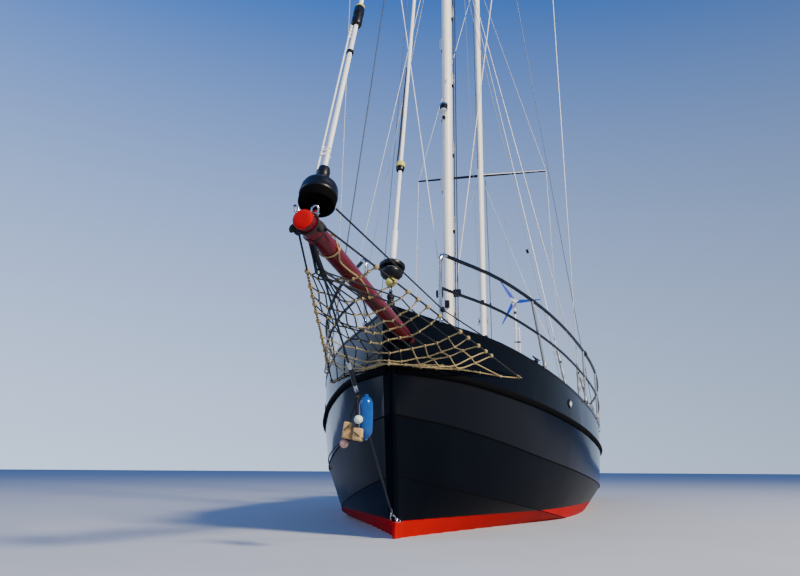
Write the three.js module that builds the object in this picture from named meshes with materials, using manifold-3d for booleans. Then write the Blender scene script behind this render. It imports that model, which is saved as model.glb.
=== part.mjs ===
// Steel ketch with a bowsprit: a multi-chine hull, two masts, and the gear that stands on them.
// Millimetres. The origin is on the centreline at the waterline amidships, the bow points to -Y,
// port is +X and +Z is up.

import * as THREE from "three";
import { mergeVertices } from "three/addons/utils/BufferGeometryUtils.js";
import Module from "manifold-3d";

const wasm = await Module();
wasm.setup();

// Fits and plate thicknesses
const GAP = 0.3;
const PLATE = 12;
const CAP_TOP = 17;
const RUB_PROFILE = [[-3, 3], [2, 20], [19, 11], [19, -11], [2, -20]];
const RUB_TOP = 20;
const CAP_PROFILE = [[0, -17], [10, -8], [10, 8], [0, 17], [-12, 17], [-22, 8], [-22, -8], [-12, -17]];
const ROUND = 24;
const SHORTEST_EDGE = 0.03;
const OPEN_TOP = 1500;

// Hull lines: half-breadth and height at each station from the stem to the transom. The stem and
// the transom are raked, so each line has its own first and last y.
const STATION_Y = [0, -4850, -4300, -3500, -2500, -1200, 300, 1800, 3400, 0];
const LINES = {
  top: {
    ends: [-5370, 5330],
    half: [34, 393, 763, 1148, 1439, 1667, 1761, 1700, 1500, 1200],
    height: [1733, 1669, 1600, 1456, 1315, 1172, 1054, 990, 985, 1040],
  },
  rub: {
    ends: [-5320, 5290],
    half: [34, 453, 773, 1128, 1462, 1673, 1762, 1735, 1560, 1260],
    height: [1262, 1238, 1178, 1087, 956, 837, 763, 717, 721, 780],
  },
  upperChine: {
    ends: [-5280, 5250],
    half: [34, 358, 688, 1069, 1412, 1650, 1705, 1630, 1420, 1100],
    height: [915, 853, 759, 615, 482, 353, 259, 240, 300, 420],
  },
  lowerChine: {
    ends: [-5210, 5210],
    half: [26, 290, 601, 940, 1212, 1355, 1364, 1260, 1020, 720],
    height: [457, 381, 277, 153, 19, -109, -191, -200, -110, 100],
  },
  keel: {
    ends: [-5180, 5190],
    half: [20, 22, 24, 26, 30, 40, 45, 45, 40, 30],
    height: [0, -240, -400, -520, -600, -660, -680, -600, -360, -20],
  },
};
const SECTIONS = 27;
const NOSE = [[0.3, 30], [0.75, 18]];
const DECK_CROWN = 55;
const WATERWAY = 80;
const STEM_POST_END = 0.0067;
const STEM_POST_SUNK = 40;
const STERN_PLATE = { thick: 20, inset: 3, sunk: 40 };

// Underwater: a long fin keel, a heel shoe, an aperture for the propeller, then the rudder
const KEEL_RINGS = [
  { y: -3700, bottom: -560, half: 30 },
  { y: -3300, bottom: -850, half: 60 },
  { y: -2700, bottom: -1150, half: 80 },
  { y: -1900, bottom: -1400, half: 95 },
  { y: -600, bottom: -1480, half: 110 },
  { y: 1000, bottom: -1500, half: 110 },
  { y: 2300, bottom: -1510, half: 70 },
  { y: 3000, bottom: -1515, half: 30 },
];
const KEEL_TOP = -300;
const KEEL_TAPER = 0.8;
const SHOE = { from: 2900, to: 3900, half: 45, bottom: -1515, top: -1440 };
const RUDDER = { y: 3700, stock: 30, top: -430, bottom: -1425, stockTop: 250, pintle: 20, pin: 40 };
const RUDDER_SECTION = [[3640, 10], [3668, 32], [3735, 32], [4000, 24], [4330, 6]];
const SHAFT = { z: -900, radius: 17, boss: 42, from: 2850, bossEnd: 3120, hub: 3300 };
const PROPELLER = { radius: 230, hub: 45, hubLength: 120, blades: 3, blade: 9, pitchAngle: 0.6 };
const RUNNING = 0.7;

// Deckhouse: a low coachroof forward, a raised doghouse aft, over one cabin
const WALL = 35;
const ROOF_RINGS = [
  { y: -3150, half: 600, edge: 1365, ridge: 1400 },
  { y: -2700, half: 680, edge: 1370, ridge: 1412 },
  { y: -1000, half: 960, edge: 1385, ridge: 1440 },
  { y: -600, half: 1000, edge: 1390, ridge: 1445 },
];
const DOGHOUSE_RINGS = [
  { y: -700, half: 1000, edge: 1820, ridge: 1870 },
  { y: 1050, half: 1000, edge: 1820, ridge: 1870 },
];
const HOUSE_BOTTOM = 700;
const CABIN = { sole: -150, front: -2900, wide: -1300, back: 900, halfFront: 480, halfBack: 850 };
const PORTLIGHT = { width: 420, height: 130, z: 1215, at: [0.2, 0.5, 0.8] };
const SIDE_WINDOW = { width: 1250, height: 250, y: 150, z: 1590 };
const FRONT_WINDOW = { width: 1500, height: 210, z: 1640 };
const GLASS = 8;
const COMPANION = { left: -740, right: -180, sill: 1080, front: 480, hatchBottom: 1881 };
const RUNNER = { out: 25, half: 15, front: -180, back: 1050, bottom: 1790 };
const HATCH_COAMING = { wall: 30, sunk: 60 };
const HATCH_LID = { lap: 10, thick: 25 };
const SLIDE = { lap: 45, front: 450, back: 1075, thick: 28 };
const DOOR = { front: 1018, back: 1046, play: 6, headroom: 9 };
const HINGE = { y: 1058, radius: 8, height: 50, leaf: 60, at: [1250, 1650] };
const STEP_DEPTH = 250;
const HATCHES = [
  { name: "fore_hatch_lid", front: -3040, back: -2640, half: 200, top: 1440 },
  { name: "main_hatch_lid", front: -1760, back: -1330, half: 230, top: 1468 },
];

// Cockpit
const WELL = { front: 1850, back: 3950, half: 420, floor: 430 };
const COAMING = { front: 1760, back: 4120, half: 900, top: 1035, thick: 40 };
const LOCKER = { front: 2000, back: 3000, inner: 440, outer: 780, top: 800, floor: 480, lip: 30 };
const PEDESTAL = { y: 3130, half: 90, top: 1230, bearing: 36 };
const WHEEL = { y: 3290, z: 1150, radius: 330, rim: 14, spokes: 6, spoke: 9, hub: 38, axle: 12 };

// Spars: foot and rake are read at the height where the photographed mast meets the bulwark
const MAST_DATUM = 1300;
const MAIN = { y: -2472, rake: 0.031, head: 13940, half: [67, 92], foot: 1396 };
const MAIN_SPREADER = { z: 8300, reach: 1385, sweep: 60 };
const MIZZEN = { y: 1392, rake: 0.026, head: 9930, half: [54, 70], foot: 700 };
const MIZZEN_SPREADER = { z: 5740, reach: 1172, sweep: 118 };
const BOOMS = [
  { name: "main_boom", mast: MAIN, z: 2080, length: 3150, rise: 0.07, half: [40, 60] },
  { name: "mizzen_boom", mast: MIZZEN, z: 2330, length: 2850, rise: 0.03, half: [34, 50] },
];
const GOOSENECK = { reach: 60, pin: 10, eye: 26, eyeHeight: 50, ear: 14 };
const MAST_WINCH = { z: 2560, radius: 48, depth: 80 };
const CRANE = { half: 30, out: 60, deep: 90 };
const SPREADER_BAR = { root: 24, tip: 15 };
const EAR = { half: 22, start: 20 };
const BOOM_START = 90;

// Standing rigging: chainplates where the wires meet the bulwark, read from the photograph
const WIRE = 5;
const SPAR_SIDES = 16;
const SPREADER_LIFT = 40;
const DECK_SEAT = 700;
const CHAINPLATE_INSET = 14;
const SCREW = { radius: 13, length: 380 };
const TIP_CAP = 9;
const SHROUDS = [
  { name: "main_cap_shroud", footY: -2330, via: MAIN_SPREADER, mast: MAIN, top: 13800 },
  { name: "main_fore_lower", footY: -2935, mast: MAIN, top: 8200 },
  { name: "main_aft_lower", footY: -1700, mast: MAIN, top: 8140 },
  { name: "main_backstay", footY: 450, mast: MAIN, top: 13740 },
  { name: "mizzen_cap_shroud", footY: 1600, footX: 1300, via: MIZZEN_SPREADER, mast: MIZZEN, top: 9830 },
];

// Bowsprit, its stays and the rope net slung under it
const SPRIT = { tip: [-27, -7268, 1807], root: [100, -5160, 1504], heel: 0.36, radius: 57 };
const TIP_BAND = { from: 55, to: 140, thick: 7 };
const HEADSTAYS = [
  {
    name: "jib_furler",
    foot: [-12, -7150, 1866],
    head: [0, -2081, 13930],
    start: 45,
    drum: [[40, 0], [98, 6], [108, 30], [111, 190], [104, 214], [60, 232], [34, 250], [30, 330]],
    foil: 16,
    swivel: { at: 1880, radius: 38, length: 210 },
    top: 350,
  },
  {
    name: "staysail_furler",
    foot: [0, -5392, 1905],
    head: [0, -2092, 13640],
    start: 10,
    drum: [
      [32, 0], [36, 40], [30, 85], [92, 100], [102, 128], [60, 140],
      [60, 172], [104, 186], [96, 222], [26, 236], [26, 500],
    ],
    foil: 17,
    swivel: { at: 1170, radius: 34, length: 60 },
    top: 510,
  },
];
const STAY_ROD = 7;
const STAY_SOCKET = 60;
const TOGGLE_END = 12;
const BOBSTAY_HEAD = 70;
const STEM_POST = { y: -5386, radius: 17, bottom: 1700, top: 1845, link: 9 };
const BOBSTAY_SCREW = { from: 1060, to: 1250, radius: 12 };
const STEM_EYE = { front: -5262, back: -5190, half: 9, bottom: 118, top: 166 };
const COLLAR = { from: 1975, to: 2015, wide: 14 };
const BITT = { x0: 78, x1: 214, front: -4412, back: -4320, bottom: 1100, top: 1490 };
const HEEL_CUT = 400;

// The net's two edge ropes run from the bowsprit's tip to an eye on each bow. Its cross ropes are
// tied to them at these shares of their length, and it hangs under the bowsprit to the stem.
const NET = {
  starts: { port: [40, -7200, 1800], starboard: [-90, -7200, 1800] },
  end: [905, -4050, 1325],
  rows: [0.19, 0.29, 0.4, 0.52, 0.66, 0.8, 1.0],
  strands: 5,
  gather: [-27, -7010, 1700],
  stay: 6,
  rope: 7,
  knot: 2.2,
  stem: -5390,
  slack: [90, 180],
  clear: 22,
};

const FLOATS = {
  at: 1270,
  knot: 11,
  line: 4,
  beads: [
    { to: [59, 10, -126], radii: [45, 41, 147] },
    { to: [24, -45, -145], radii: [28, 28, 28] },
    { to: [-56, -10, -211], radii: [28, 30, 54] },
    { to: [21, -35, -238], radii: [31, 28, 41] },
    { to: [-81, 0, -293], radii: [28, 28, 28] },
  ],
};

// Guard rails on the bulwark. Each post has its foot's y and how far its head leans forward.
const RAIL = { height: 600, middle: 300, radius: 17, post: 14, steps: 18, out: 15 };
const RAIL_POSTS = [
  { y: -4970, lean: 0 },
  { y: -3600, lean: 210 },
  { y: -2120, lean: 0 },
  { y: -1000, lean: 0 },
  { y: 350, lean: 0 },
  { y: 1700, lean: 0 },
  { y: 3000, lean: 0 },
  { y: 4150, lean: 0 },
  { y: 5150, lean: 0 },
];

// The long welded pieces come in lengths that meet at these cross planes
const FAR = 20000;
const HULL_LENGTHS = {
  bow: [-FAR, CABIN.front],
  cabin: [CABIN.front, CABIN.back],
  cockpit: [CABIN.back, WELL.back],
  stern: [WELL.back, FAR],
};
const HOUSE_LENGTHS = { coachroof: [-FAR, DOGHOUSE_RINGS[0].y], doghouse: [DOGHOUSE_RINGS[0].y, FAR] };
const BULWARK_LENGTHS = { bow: [-FAR, -2400], side: [-2400, 1750], quarter: [1750, FAR] };
const RAIL_LENGTHS = { bow: [-FAR, -1025], side: [-1025, 1725], quarter: [1725, FAR] };

// Wind generator on its pole by the stern
const WIND = { x: 333, y: 4888, hub: 4098, radius: 575, blades: 3, rest: 0.02, pole: 26, top: 3960 };
const POLE_FOOT = 700;
const SECOND_POLE = { out: 82, radius: 17, short: 420, clips: [1500, 2500, 3500], clip: 8 };
const WIND_PIN = { radius: 16, up: 50 };
const WIND_AXLE = 10;
const WIND_HEAD = [[0, -120], [52, -120], [62, -60], [62, 40], [30, 190], [0, 190]];
const BLADE = { thick: 9, lean: 0.25, ahead: 16 };
const ROTOR_AHEAD = 130;

// Small helpers

// A closed geometry as a solid that can be joined and cut
function solid(geometry) {
  const bare = geometry.clone();
  bare.deleteAttribute("normal");
  bare.deleteAttribute("uv");
  const merged = mergeVertices(bare, 1e-3);
  const vertProperties = new Float32Array(merged.attributes.position.array);
  const triVerts = new Uint32Array(merged.index.array);
  return new wasm.Manifold(new wasm.Mesh({ numProp: 3, vertProperties, triVerts }));
}

// Edges too short to stay apart in a saved solid are closed up
function toGeometry(body) {
  const made = body.asOriginal().simplify(SHORTEST_EDGE).getMesh();
  const geometry = new THREE.BufferGeometry();
  geometry.setAttribute("position", new THREE.BufferAttribute(made.vertProperties, 3));
  geometry.setIndex(new THREE.BufferAttribute(made.triVerts, 1));
  geometry.computeVertexNormals();
  return geometry;
}

function union(bodies) {
  return bodies.reduce((sum, body) => sum.add(body));
}

function box(x0, x1, y0, y1, z0, z1) {
  const geometry = new THREE.BoxGeometry(x1 - x0, y1 - y0, z1 - z0);
  geometry.translate((x0 + x1) / 2, (y0 + y1) / 2, (z0 + z1) / 2);
  return solid(geometry);
}

// Turns local +Z onto a direction
// The length of a body between two cross planes, with the gap that touching pieces keep
function between(body, [from, to]) {
  return body.intersect(box(-FAR, FAR, from, to - GAP, -FAR, FAR));
}

function aim(direction) {
  const up = new THREE.Vector3(0, 0, 1);
  return new THREE.Quaternion().setFromUnitVectors(up, direction.clone().normalize());
}

// A round bar from a to b, or a cone when it has two radii
function bar(a, b, radius, sides = 12, endRadius = radius) {
  const from = new THREE.Vector3(...a);
  const to = new THREE.Vector3(...b);
  const geometry = new THREE.CylinderGeometry(endRadius, radius, from.distanceTo(to), sides);
  geometry.rotateX(Math.PI / 2);
  geometry.applyQuaternion(aim(to.clone().sub(from)));
  geometry.translate((a[0] + b[0]) / 2, (a[1] + b[1]) / 2, (a[2] + b[2]) / 2);
  return solid(geometry);
}

// A round rail through points
function pipe(points, radius, sides, steps) {
  const shape = new THREE.Shape();
  for (let i = 0; i < sides; i += 1) {
    const angle = (2 * Math.PI * i) / sides;
    const at = [radius * Math.cos(angle), radius * Math.sin(angle)];
    if (i === 0) shape.moveTo(...at);
    else shape.lineTo(...at);
  }
  const extrudePath = new THREE.CatmullRomCurve3(points, false, "centripetal");
  return solid(new THREE.ExtrudeGeometry(shape, { steps, extrudePath, curveSegments: 1 }));
}

// A closed skin through rings of [x, y, z] points that run the same way round. The end rings are
// filled as outlines in x and z, or as a fan when they are round.
function loft(rings, round = false) {
  const size = rings[0].length;
  const positions = rings.flat(2);
  const index = [];
  for (let r = 0; r + 1 < rings.length; r += 1) {
    for (let k = 0; k < size; k += 1) {
      const a = r * size + k;
      const b = r * size + ((k + 1) % size);
      index.push(a, b, a + size, b, b + size, a + size);
    }
  }
  const last = (rings.length - 1) * size;
  const outline = (ring) => ring.map(([x, , z]) => new THREE.Vector2(x, z));
  const clockwise = !round && THREE.ShapeUtils.isClockWise(outline(rings[0]));
  const fan = rings[0].slice(2).map((_, k) => [0, k + 1, k + 2]);
  const cap = (ring, start, turned) => {
    for (const [p, q, s] of round ? fan : THREE.ShapeUtils.triangulateShape(outline(ring), [])) {
      index.push(start + p, start + (turned ? s : q), start + (turned ? q : s));
    }
  };
  cap(rings[0], 0, !clockwise);
  cap(rings.at(-1), last, clockwise);
  const geometry = new THREE.BufferGeometry();
  geometry.setAttribute("position", new THREE.Float32BufferAttribute(positions, 3));
  geometry.setIndex(index);
  const body = solid(geometry);
  if (body.volume() > 0) return body;
  geometry.setIndex(index.map((_, i) => index[3 * Math.floor(i / 3) + (2 - (i % 3))]));
  return solid(geometry);
}

function roundedRect(width, height, radius) {
  const w = width / 2;
  const h = height / 2;
  const shape = new THREE.Shape();
  shape.moveTo(-w + radius, -h);
  shape.absarc(w - radius, -h + radius, radius, -Math.PI / 2, 0);
  shape.absarc(w - radius, h - radius, radius, 0, Math.PI / 2);
  shape.absarc(-w + radius, h - radius, radius, Math.PI / 2, Math.PI);
  shape.absarc(-w + radius, -h + radius, radius, Math.PI, 1.5 * Math.PI);
  return shape;
}

function mirrored(body) {
  return body.mirror([1, 0, 0]);
}

// Materials, one maker per finish
const finish = {
  topsides: () => new THREE.MeshStandardMaterial({ color: 0x0b1320, roughness: 0.12, metalness: 0.0 }),
  antifouling: () => new THREE.MeshStandardMaterial({ color: 0xc8101a, roughness: 0.5, metalness: 0.0 }),
  spritPaint: () => new THREE.MeshStandardMaterial({ color: 0xa51226, roughness: 0.25, metalness: 0.0 }),
  whitePaint: () => new THREE.MeshStandardMaterial({ color: 0xe9e7e0, roughness: 0.3, metalness: 0.0 }),
  spar: () => new THREE.MeshStandardMaterial({ color: 0xf0efe6, roughness: 0.3, metalness: 0.0 }),
  foil: () => new THREE.MeshStandardMaterial({ color: 0xe8e9e8, roughness: 0.35, metalness: 0.3 }),
  steel: () => new THREE.MeshStandardMaterial({ color: 0x9a9da0, roughness: 0.25, metalness: 1.0 }),
  black: () => new THREE.MeshStandardMaterial({ color: 0x0c0c0d, roughness: 0.35, metalness: 0.0 }),
  bronze: () => new THREE.MeshStandardMaterial({ color: 0x9a7440, roughness: 0.35, metalness: 1.0 }),
  rope: () => new THREE.MeshStandardMaterial({ color: 0xa08c5c, roughness: 0.9, metalness: 0.0 }),
  teak: () => new THREE.MeshStandardMaterial({ color: 0x9c7a50, roughness: 0.75, metalness: 0.0 }),
  glass: () => new THREE.MeshStandardMaterial({ color: 0x1d2a30, roughness: 0.05, metalness: 0.0 }),
  blade: () => new THREE.MeshStandardMaterial({ color: 0x1b3fb0, roughness: 0.3, metalness: 0.0 }),
};

const yacht = new THREE.Group();

function add(name, body, material) {
  const mesh = new THREE.Mesh(body.isBufferGeometry ? body : toGeometry(body), material);
  mesh.name = name;
  yacht.add(mesh);
  return mesh;
}

// Hull

const curves = {};
for (const [name, line] of Object.entries(LINES)) {
  const points = STATION_Y.map((y, i) => {
    const at = i === 0 ? line.ends[0] : i === STATION_Y.length - 1 ? line.ends[1] : y;
    return new THREE.Vector3(line.half[i], at, line.height[i]);
  });
  curves[name] = new THREE.CatmullRomCurve3(points, false, "catmullrom", 0.5);
}

function lineAt(name, t) {
  const { x, y, z } = curves[name].getPoint(t);
  return [x, y, z];
}

// The share of a line's length at which it reaches y
function whereY(name, y) {
  let low = 0;
  let high = 1;
  for (let i = 0; i < 40; i += 1) {
    const middle = (low + high) / 2;
    if (lineAt(name, middle)[1] < y) low = middle;
    else high = middle;
  }
  return low;
}

function hullRing(t, widthShare = 1, ahead = 0) {
  const [rub, upper, lower, keel] = ["rub", "upperChine", "lowerChine", "keel"].map((n) => lineAt(n, t));
  const inner = Math.max(rub[0] - WATERWAY, 0.4 * rub[0]);
  const crown = (DECK_CROWN * rub[0]) / LINES.rub.half[6];
  const rail = RUB_PROFILE.map(([out, rise]) => [rub[0] + out, rub[1], rub[2] + rise]);
  const port = [[inner, rub[1], rub[2]], ...rail, upper, lower, keel];
  const starboard = port.map(([x, y, z]) => [-x, y, z]).reverse();
  const ring = [[0, rub[1], rub[2] + crown], ...port, ...starboard];
  return ring.map(([x, y, z]) => [x * widthShare, y - ahead, z]);
}

// Section places, closest where the bow plates turn most
const shares = Array.from({ length: SECTIONS + 1 }, (_, i) => i / SECTIONS);

function stemPostRing(t, widthShare = 1, ahead = 0) {
  const low = lineAt("rub", t);
  const high = lineAt("top", t);
  const rise = high[2] + CAP_TOP;
  return [
    [low[0] * widthShare, low[1] - ahead, low[2] - STEM_POST_SUNK],
    [high[0] * widthShare, high[1] - ahead, rise],
    [-high[0] * widthShare, high[1] - ahead, rise],
    [-low[0] * widthShare, low[1] - ahead, low[2] - STEM_POST_SUNK],
  ];
}

function hullBody() {
  const rings = NOSE.map(([share, ahead]) => hullRing(0, share, ahead));
  rings.push(...shares.map((t) => hullRing(t)));
  const post = NOSE.map(([share, ahead]) => stemPostRing(0, share, ahead));
  post.push(stemPostRing(0), stemPostRing(STEM_POST_END));
  return loft(rings).add(loft(post));
}

// The cabin under the deckhouse, wide aft and narrow where the bow closes in
function cabinSpace() {
  const corners = [
    [CABIN.halfFront, CABIN.front],
    [CABIN.halfBack, CABIN.wide],
    [CABIN.halfBack, CABIN.back],
  ];
  const shape = new THREE.Shape(corners.map(([x, y]) => new THREE.Vector2(x, y)));
  for (const [x, y] of [...corners].reverse()) shape.lineTo(-x, y);
  const geometry = new THREE.ExtrudeGeometry(shape, { depth: OPEN_TOP - CABIN.sole, bevelEnabled: false });
  geometry.translate(0, 0, CABIN.sole);
  return solid(geometry);
}

const plainHull = hullBody();
const stockEnds = [2 * RUDDER.top, RUDDER.stockTop + 20].map((z) => [0, RUDDER.y, z]);
const stockHole = bar(...stockEnds, RUDDER.stock + RUNNING, ROUND);
const lockerSpace = box(
  LOCKER.inner + LOCKER.lip,
  LOCKER.outer - LOCKER.lip,
  LOCKER.front + LOCKER.lip,
  LOCKER.back - LOCKER.lip,
  LOCKER.floor,
  OPEN_TOP,
);
const well = box(-WELL.half, WELL.half, WELL.front, WELL.back, WELL.floor, OPEN_TOP);
const spaces = union([stockHole, well, cabinSpace(), lockerSpace, mirrored(lockerSpace)]);
const hull = plainHull.subtract(spaces);

// What stands on the deck is cut to it, with the gap that touching pieces keep
const raisedHull = plainHull.translate([0, 0, GAP]);
const onDeck = (body) => body.subtract(raisedHull);

// Cuts a body back from its neighbour, with the gap upwards, aft and to the side
function beside(body, neighbour, side) {
  const shifts = [[0, 0, GAP], [0, GAP, 0], [side * GAP, 0, 0]];
  return shifts.reduce((left, shift) => left.subtract(neighbour.translate(shift)), body);
}

// Keel, shoe and stern tube

function keelBody() {
  const fin = loft(
    KEEL_RINGS.map(({ y, bottom, half }) => [
      [-half, y, KEEL_TOP],
      [-half * KEEL_TAPER, y, bottom],
      [half * KEEL_TAPER, y, bottom],
      [half, y, KEEL_TOP],
    ]),
  );
  const shoe = box(-SHOE.half, SHOE.half, SHOE.from, SHOE.to, SHOE.bottom, SHOE.top);
  const { y, bottom, pintle: pinRadius, pin } = RUDDER;
  const pintle = bar([0, y, SHOE.top - 10], [0, y, bottom + pin], pinRadius, ROUND);
  const { z, from, bossEnd, boss: bossRadius, radius } = SHAFT;
  const boss = bar([0, from, z], [0, bossEnd, z], bossRadius, ROUND);
  const bore = bar([0, from - 20, z], [0, bossEnd + 10, z], radius + RUNNING, ROUND);
  const lowered = plainHull.translate([0, 0, -GAP]);
  return union([fin, shoe, pintle, boss]).subtract(bore).subtract(lowered);
}

// Rudder: a blade on a round stock, which turns in the hull and on the shoe's pintle

function rudderBody() {
  const shape = new THREE.Shape(RUDDER_SECTION.map(([y, x]) => new THREE.Vector2(x, y)));
  for (const [at, x] of [...RUDDER_SECTION].reverse()) shape.lineTo(-x, at);
  const { y, top, bottom, stock: radius, stockTop, pintle, pin } = RUDDER;
  const blade = new THREE.ExtrudeGeometry(shape, { depth: top - bottom, bevelEnabled: false });
  blade.translate(0, 0, bottom);
  const stock = bar([0, y, bottom + 1.5 * pin], [0, y, stockTop], radius, ROUND);
  const hole = bar([0, y, bottom - pin], [0, y, bottom + pin + 6], pintle + RUNNING, ROUND);
  return solid(blade).add(stock).subtract(hole);
}

// Propeller about its own shaft, which lies along +Y

function propellerBody() {
  const back = SHAFT.from - SHAFT.hub;
  const parts = [
    bar([0, back, 0], [0, 0, 0], SHAFT.radius, ROUND),
    bar([0, -PROPELLER.hubLength / 2, 0], [0, PROPELLER.hubLength / 2, 0], PROPELLER.hub, ROUND, 32),
  ];
  const outline = new THREE.Shape();
  outline.moveTo(-22, 20);
  outline.bezierCurveTo(-95, 80, -105, 190, -20, PROPELLER.radius);
  outline.bezierCurveTo(80, 215, 90, 100, 22, 20);
  const plate = { depth: PROPELLER.blade, bevelEnabled: false, curveSegments: 6 };
  for (let i = 0; i < PROPELLER.blades; i += 1) {
    const blade = new THREE.ExtrudeGeometry(outline, plate);
    blade.rotateX(Math.PI / 2);
    blade.translate(0, PROPELLER.blade / 2, 0);
    blade.rotateZ(PROPELLER.pitchAngle);
    blade.rotateY((2 * Math.PI * i) / PROPELLER.blades);
    parts.push(solid(blade));
  }
  return union(parts);
}

// Bulwark plates with a round cap

function bulwarkBody() {
  const first = STEM_POST_END + 0.00006;
  const last = whereY("rub", LINES.rub.ends[1] - STERN_PLATE.thick - GAP);
  const places = [first, ...shares.filter((t) => t > first + 0.003 && t < last - 0.003), last];
  const rings = places.map((t) => {
    const low = lineAt("rub", t);
    const high = lineAt("top", t);
    const cap = CAP_PROFILE.map(([out, rise]) => [high[0] + out, high[1], high[2] + rise]);
    return [[low[0], low[1], low[2] + GAP], ...cap, [low[0] - PLATE, low[1], low[2] + GAP]];
  });
  return beside(loft(rings), plainHull, 1).subtract(sternPlateBody().translate([0, -GAP, 0]));
}

function sternPlateBody() {
  const low = lineAt("rub", 1);
  const high = lineAt("top", 1);
  const face = (inset) => [
    [low[0], low[1] - inset, low[2] + GAP],
    [high[0], high[1] - inset, high[2]],
    [-high[0], high[1] - inset, high[2]],
    [-low[0], low[1] - inset, low[2] + GAP],
    [WATERWAY - low[0], low[1] - inset, low[2] - STERN_PLATE.sunk],
    [low[0] - WATERWAY, low[1] - inset, low[2] - STERN_PLATE.sunk],
  ];
  return onDeck(loft([face(STERN_PLATE.thick), face(STERN_PLATE.inset)]));
}

// Deckhouse

function houseShell(rings, inset) {
  return loft(
    rings.map(({ y, half, edge, ridge }, i) => {
      const at = i === 0 ? y + inset : i === rings.length - 1 ? y - inset : y;
      const b = half - inset;
      return [
        [-b, at, HOUSE_BOTTOM - 2 * inset],
        [b, at, HOUSE_BOTTOM - 2 * inset],
        [b, at, edge - inset],
        [0, at, ridge - inset],
        [-b, at, edge - inset],
      ];
    }),
  );
}

// A flat shape set upright in a wall: its middle, its facing angle about +Z and its depth
function upright(shape, depth, x, y, z, turn) {
  const geometry = new THREE.ExtrudeGeometry(shape, { depth, bevelEnabled: false, curveSegments: 2 });
  geometry.translate(0, 0, -depth / 2);
  geometry.rotateX(Math.PI / 2);
  geometry.rotateZ(turn);
  geometry.translate(x, y, z);
  return solid(geometry);
}

const slope = Math.atan2(ROOF_RINGS[2].half - ROOF_RINGS[1].half, ROOF_RINGS[2].y - ROOF_RINGS[1].y);
const portlightPlaces = PORTLIGHT.at.map((share) => ({
  x: THREE.MathUtils.lerp(ROOF_RINGS[1].half, ROOF_RINGS[2].half, share),
  y: THREE.MathUtils.lerp(ROOF_RINGS[1].y, ROOF_RINGS[2].y, share),
}));
const windows = [
  { name: "doghouse_glass_port", width: SIDE_WINDOW.width, height: SIDE_WINDOW.height, at: [1, 0] },
  { name: "doghouse_glass_starboard", width: SIDE_WINDOW.width, height: SIDE_WINDOW.height, at: [-1, 0] },
  { name: "doghouse_glass_front", width: FRONT_WINDOW.width, height: FRONT_WINDOW.height, at: [0, -1] },
];

function windowSolid({ width, height, at }, shrink, depth) {
  const shape = roundedRect(width - 2 * shrink, height - 2 * shrink, 50 - shrink);
  if (at[0] === 0) {
    return upright(shape, depth, 0, DOGHOUSE_RINGS[0].y + WALL / 2, FRONT_WINDOW.z, 0);
  }
  const x = at[0] * (DOGHOUSE_RINGS[0].half - WALL / 2);
  return upright(shape, depth, x, SIDE_WINDOW.y, SIDE_WINDOW.z, Math.PI / 2);
}

function coachroofBody() {
  const { wall, sunk } = HATCH_COAMING;
  const coamings = HATCHES.map(({ front, back, half, top }) => {
    return box(-half, half, front, back, top - sunk, top - GAP);
  });
  const { left, right, sill, front, hatchBottom } = COMPANION;
  const runners = [left - RUNNER.out, right + RUNNER.out].map((x) => {
    return box(x - RUNNER.half, x + RUNNER.half, RUNNER.front, RUNNER.back, RUNNER.bottom, hatchBottom - GAP);
  });
  const outer = union([houseShell(ROOF_RINGS, 0), houseShell(DOGHOUSE_RINGS, 0), ...coamings, ...runners]);
  const inner = houseShell(ROOF_RINGS, WALL).add(houseShell(DOGHOUSE_RINGS, WALL));
  const join = DOGHOUSE_RINGS[0].half - WALL - 5;
  const joinEnds = [DOGHOUSE_RINGS[0].y - 60, ROOF_RINGS[3].y + 40];
  const joinBand = box(-join, join, ...joinEnds, 400, ROOF_RINGS[3].edge - 50);
  const cuts = [inner, joinBand, box(left, right, front, DOGHOUSE_RINGS[1].y + 50, sill, 2000)];
  for (const { front: ahead, back, half } of HATCHES) {
    cuts.push(box(wall - half, half - wall, ahead + wall, back - wall, 1200, 1600));
  }
  cuts.push(...windows.map((window) => windowSolid(window, 0, 3 * WALL)));
  const light = roundedRect(PORTLIGHT.width, PORTLIGHT.height, 55);
  for (const { x, y } of portlightPlaces) {
    const port = upright(light, 4 * WALL, x, y, PORTLIGHT.z, Math.PI / 2 - slope);
    cuts.push(port, mirrored(port));
  }
  return onDeck(outer.subtract(union(cuts)));
}

// Companionway: a sliding hatch on two runners and a hinged door under it

const hingeX = COMPANION.left + DOOR.play;

function doorBody() {
  const { right, sill, hatchBottom } = COMPANION;
  const { play, headroom, front, back } = DOOR;
  const { y, radius, height, leaf, at } = HINGE;
  const panel = box(hingeX, right - headroom, front, back, sill + play, hatchBottom - headroom);
  const knuckles = at.map((z) => {
    const barrel = bar([hingeX, y, z], [hingeX, y, z + height], radius, 12);
    return barrel.add(box(hingeX, hingeX + leaf, back - 1, back + 6, z, z + height));
  });
  return union([panel, ...knuckles]);
}

function doorPins() {
  const { y, radius, height, leaf, at } = HINGE;
  const pins = at.map((z) => {
    const lower = bar([hingeX, y, z - height], [hingeX, y, z - GAP], radius, 12);
    return lower.add(box(hingeX - leaf, hingeX, DOOR.back - 1, y, z - height, z - GAP));
  });
  return union(pins);
}

// Spars

function mastAt({ y, rake }, z) {
  return [0, y + rake * (z - MAST_DATUM), z];
}

// An oval spar section, wider fore and aft than across
function ovalBar(halfX, halfY, length, sides = SPAR_SIDES) {
  const shape = new THREE.Shape();
  for (let i = 0; i < sides; i += 1) {
    const angle = (2 * Math.PI * (i + 0.5)) / sides;
    const at = [halfX * Math.cos(angle), halfY * Math.sin(angle)];
    if (i === 0) shape.moveTo(...at);
    else shape.lineTo(...at);
  }
  return new THREE.ExtrudeGeometry(shape, { depth: length, bevelEnabled: false });
}

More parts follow.
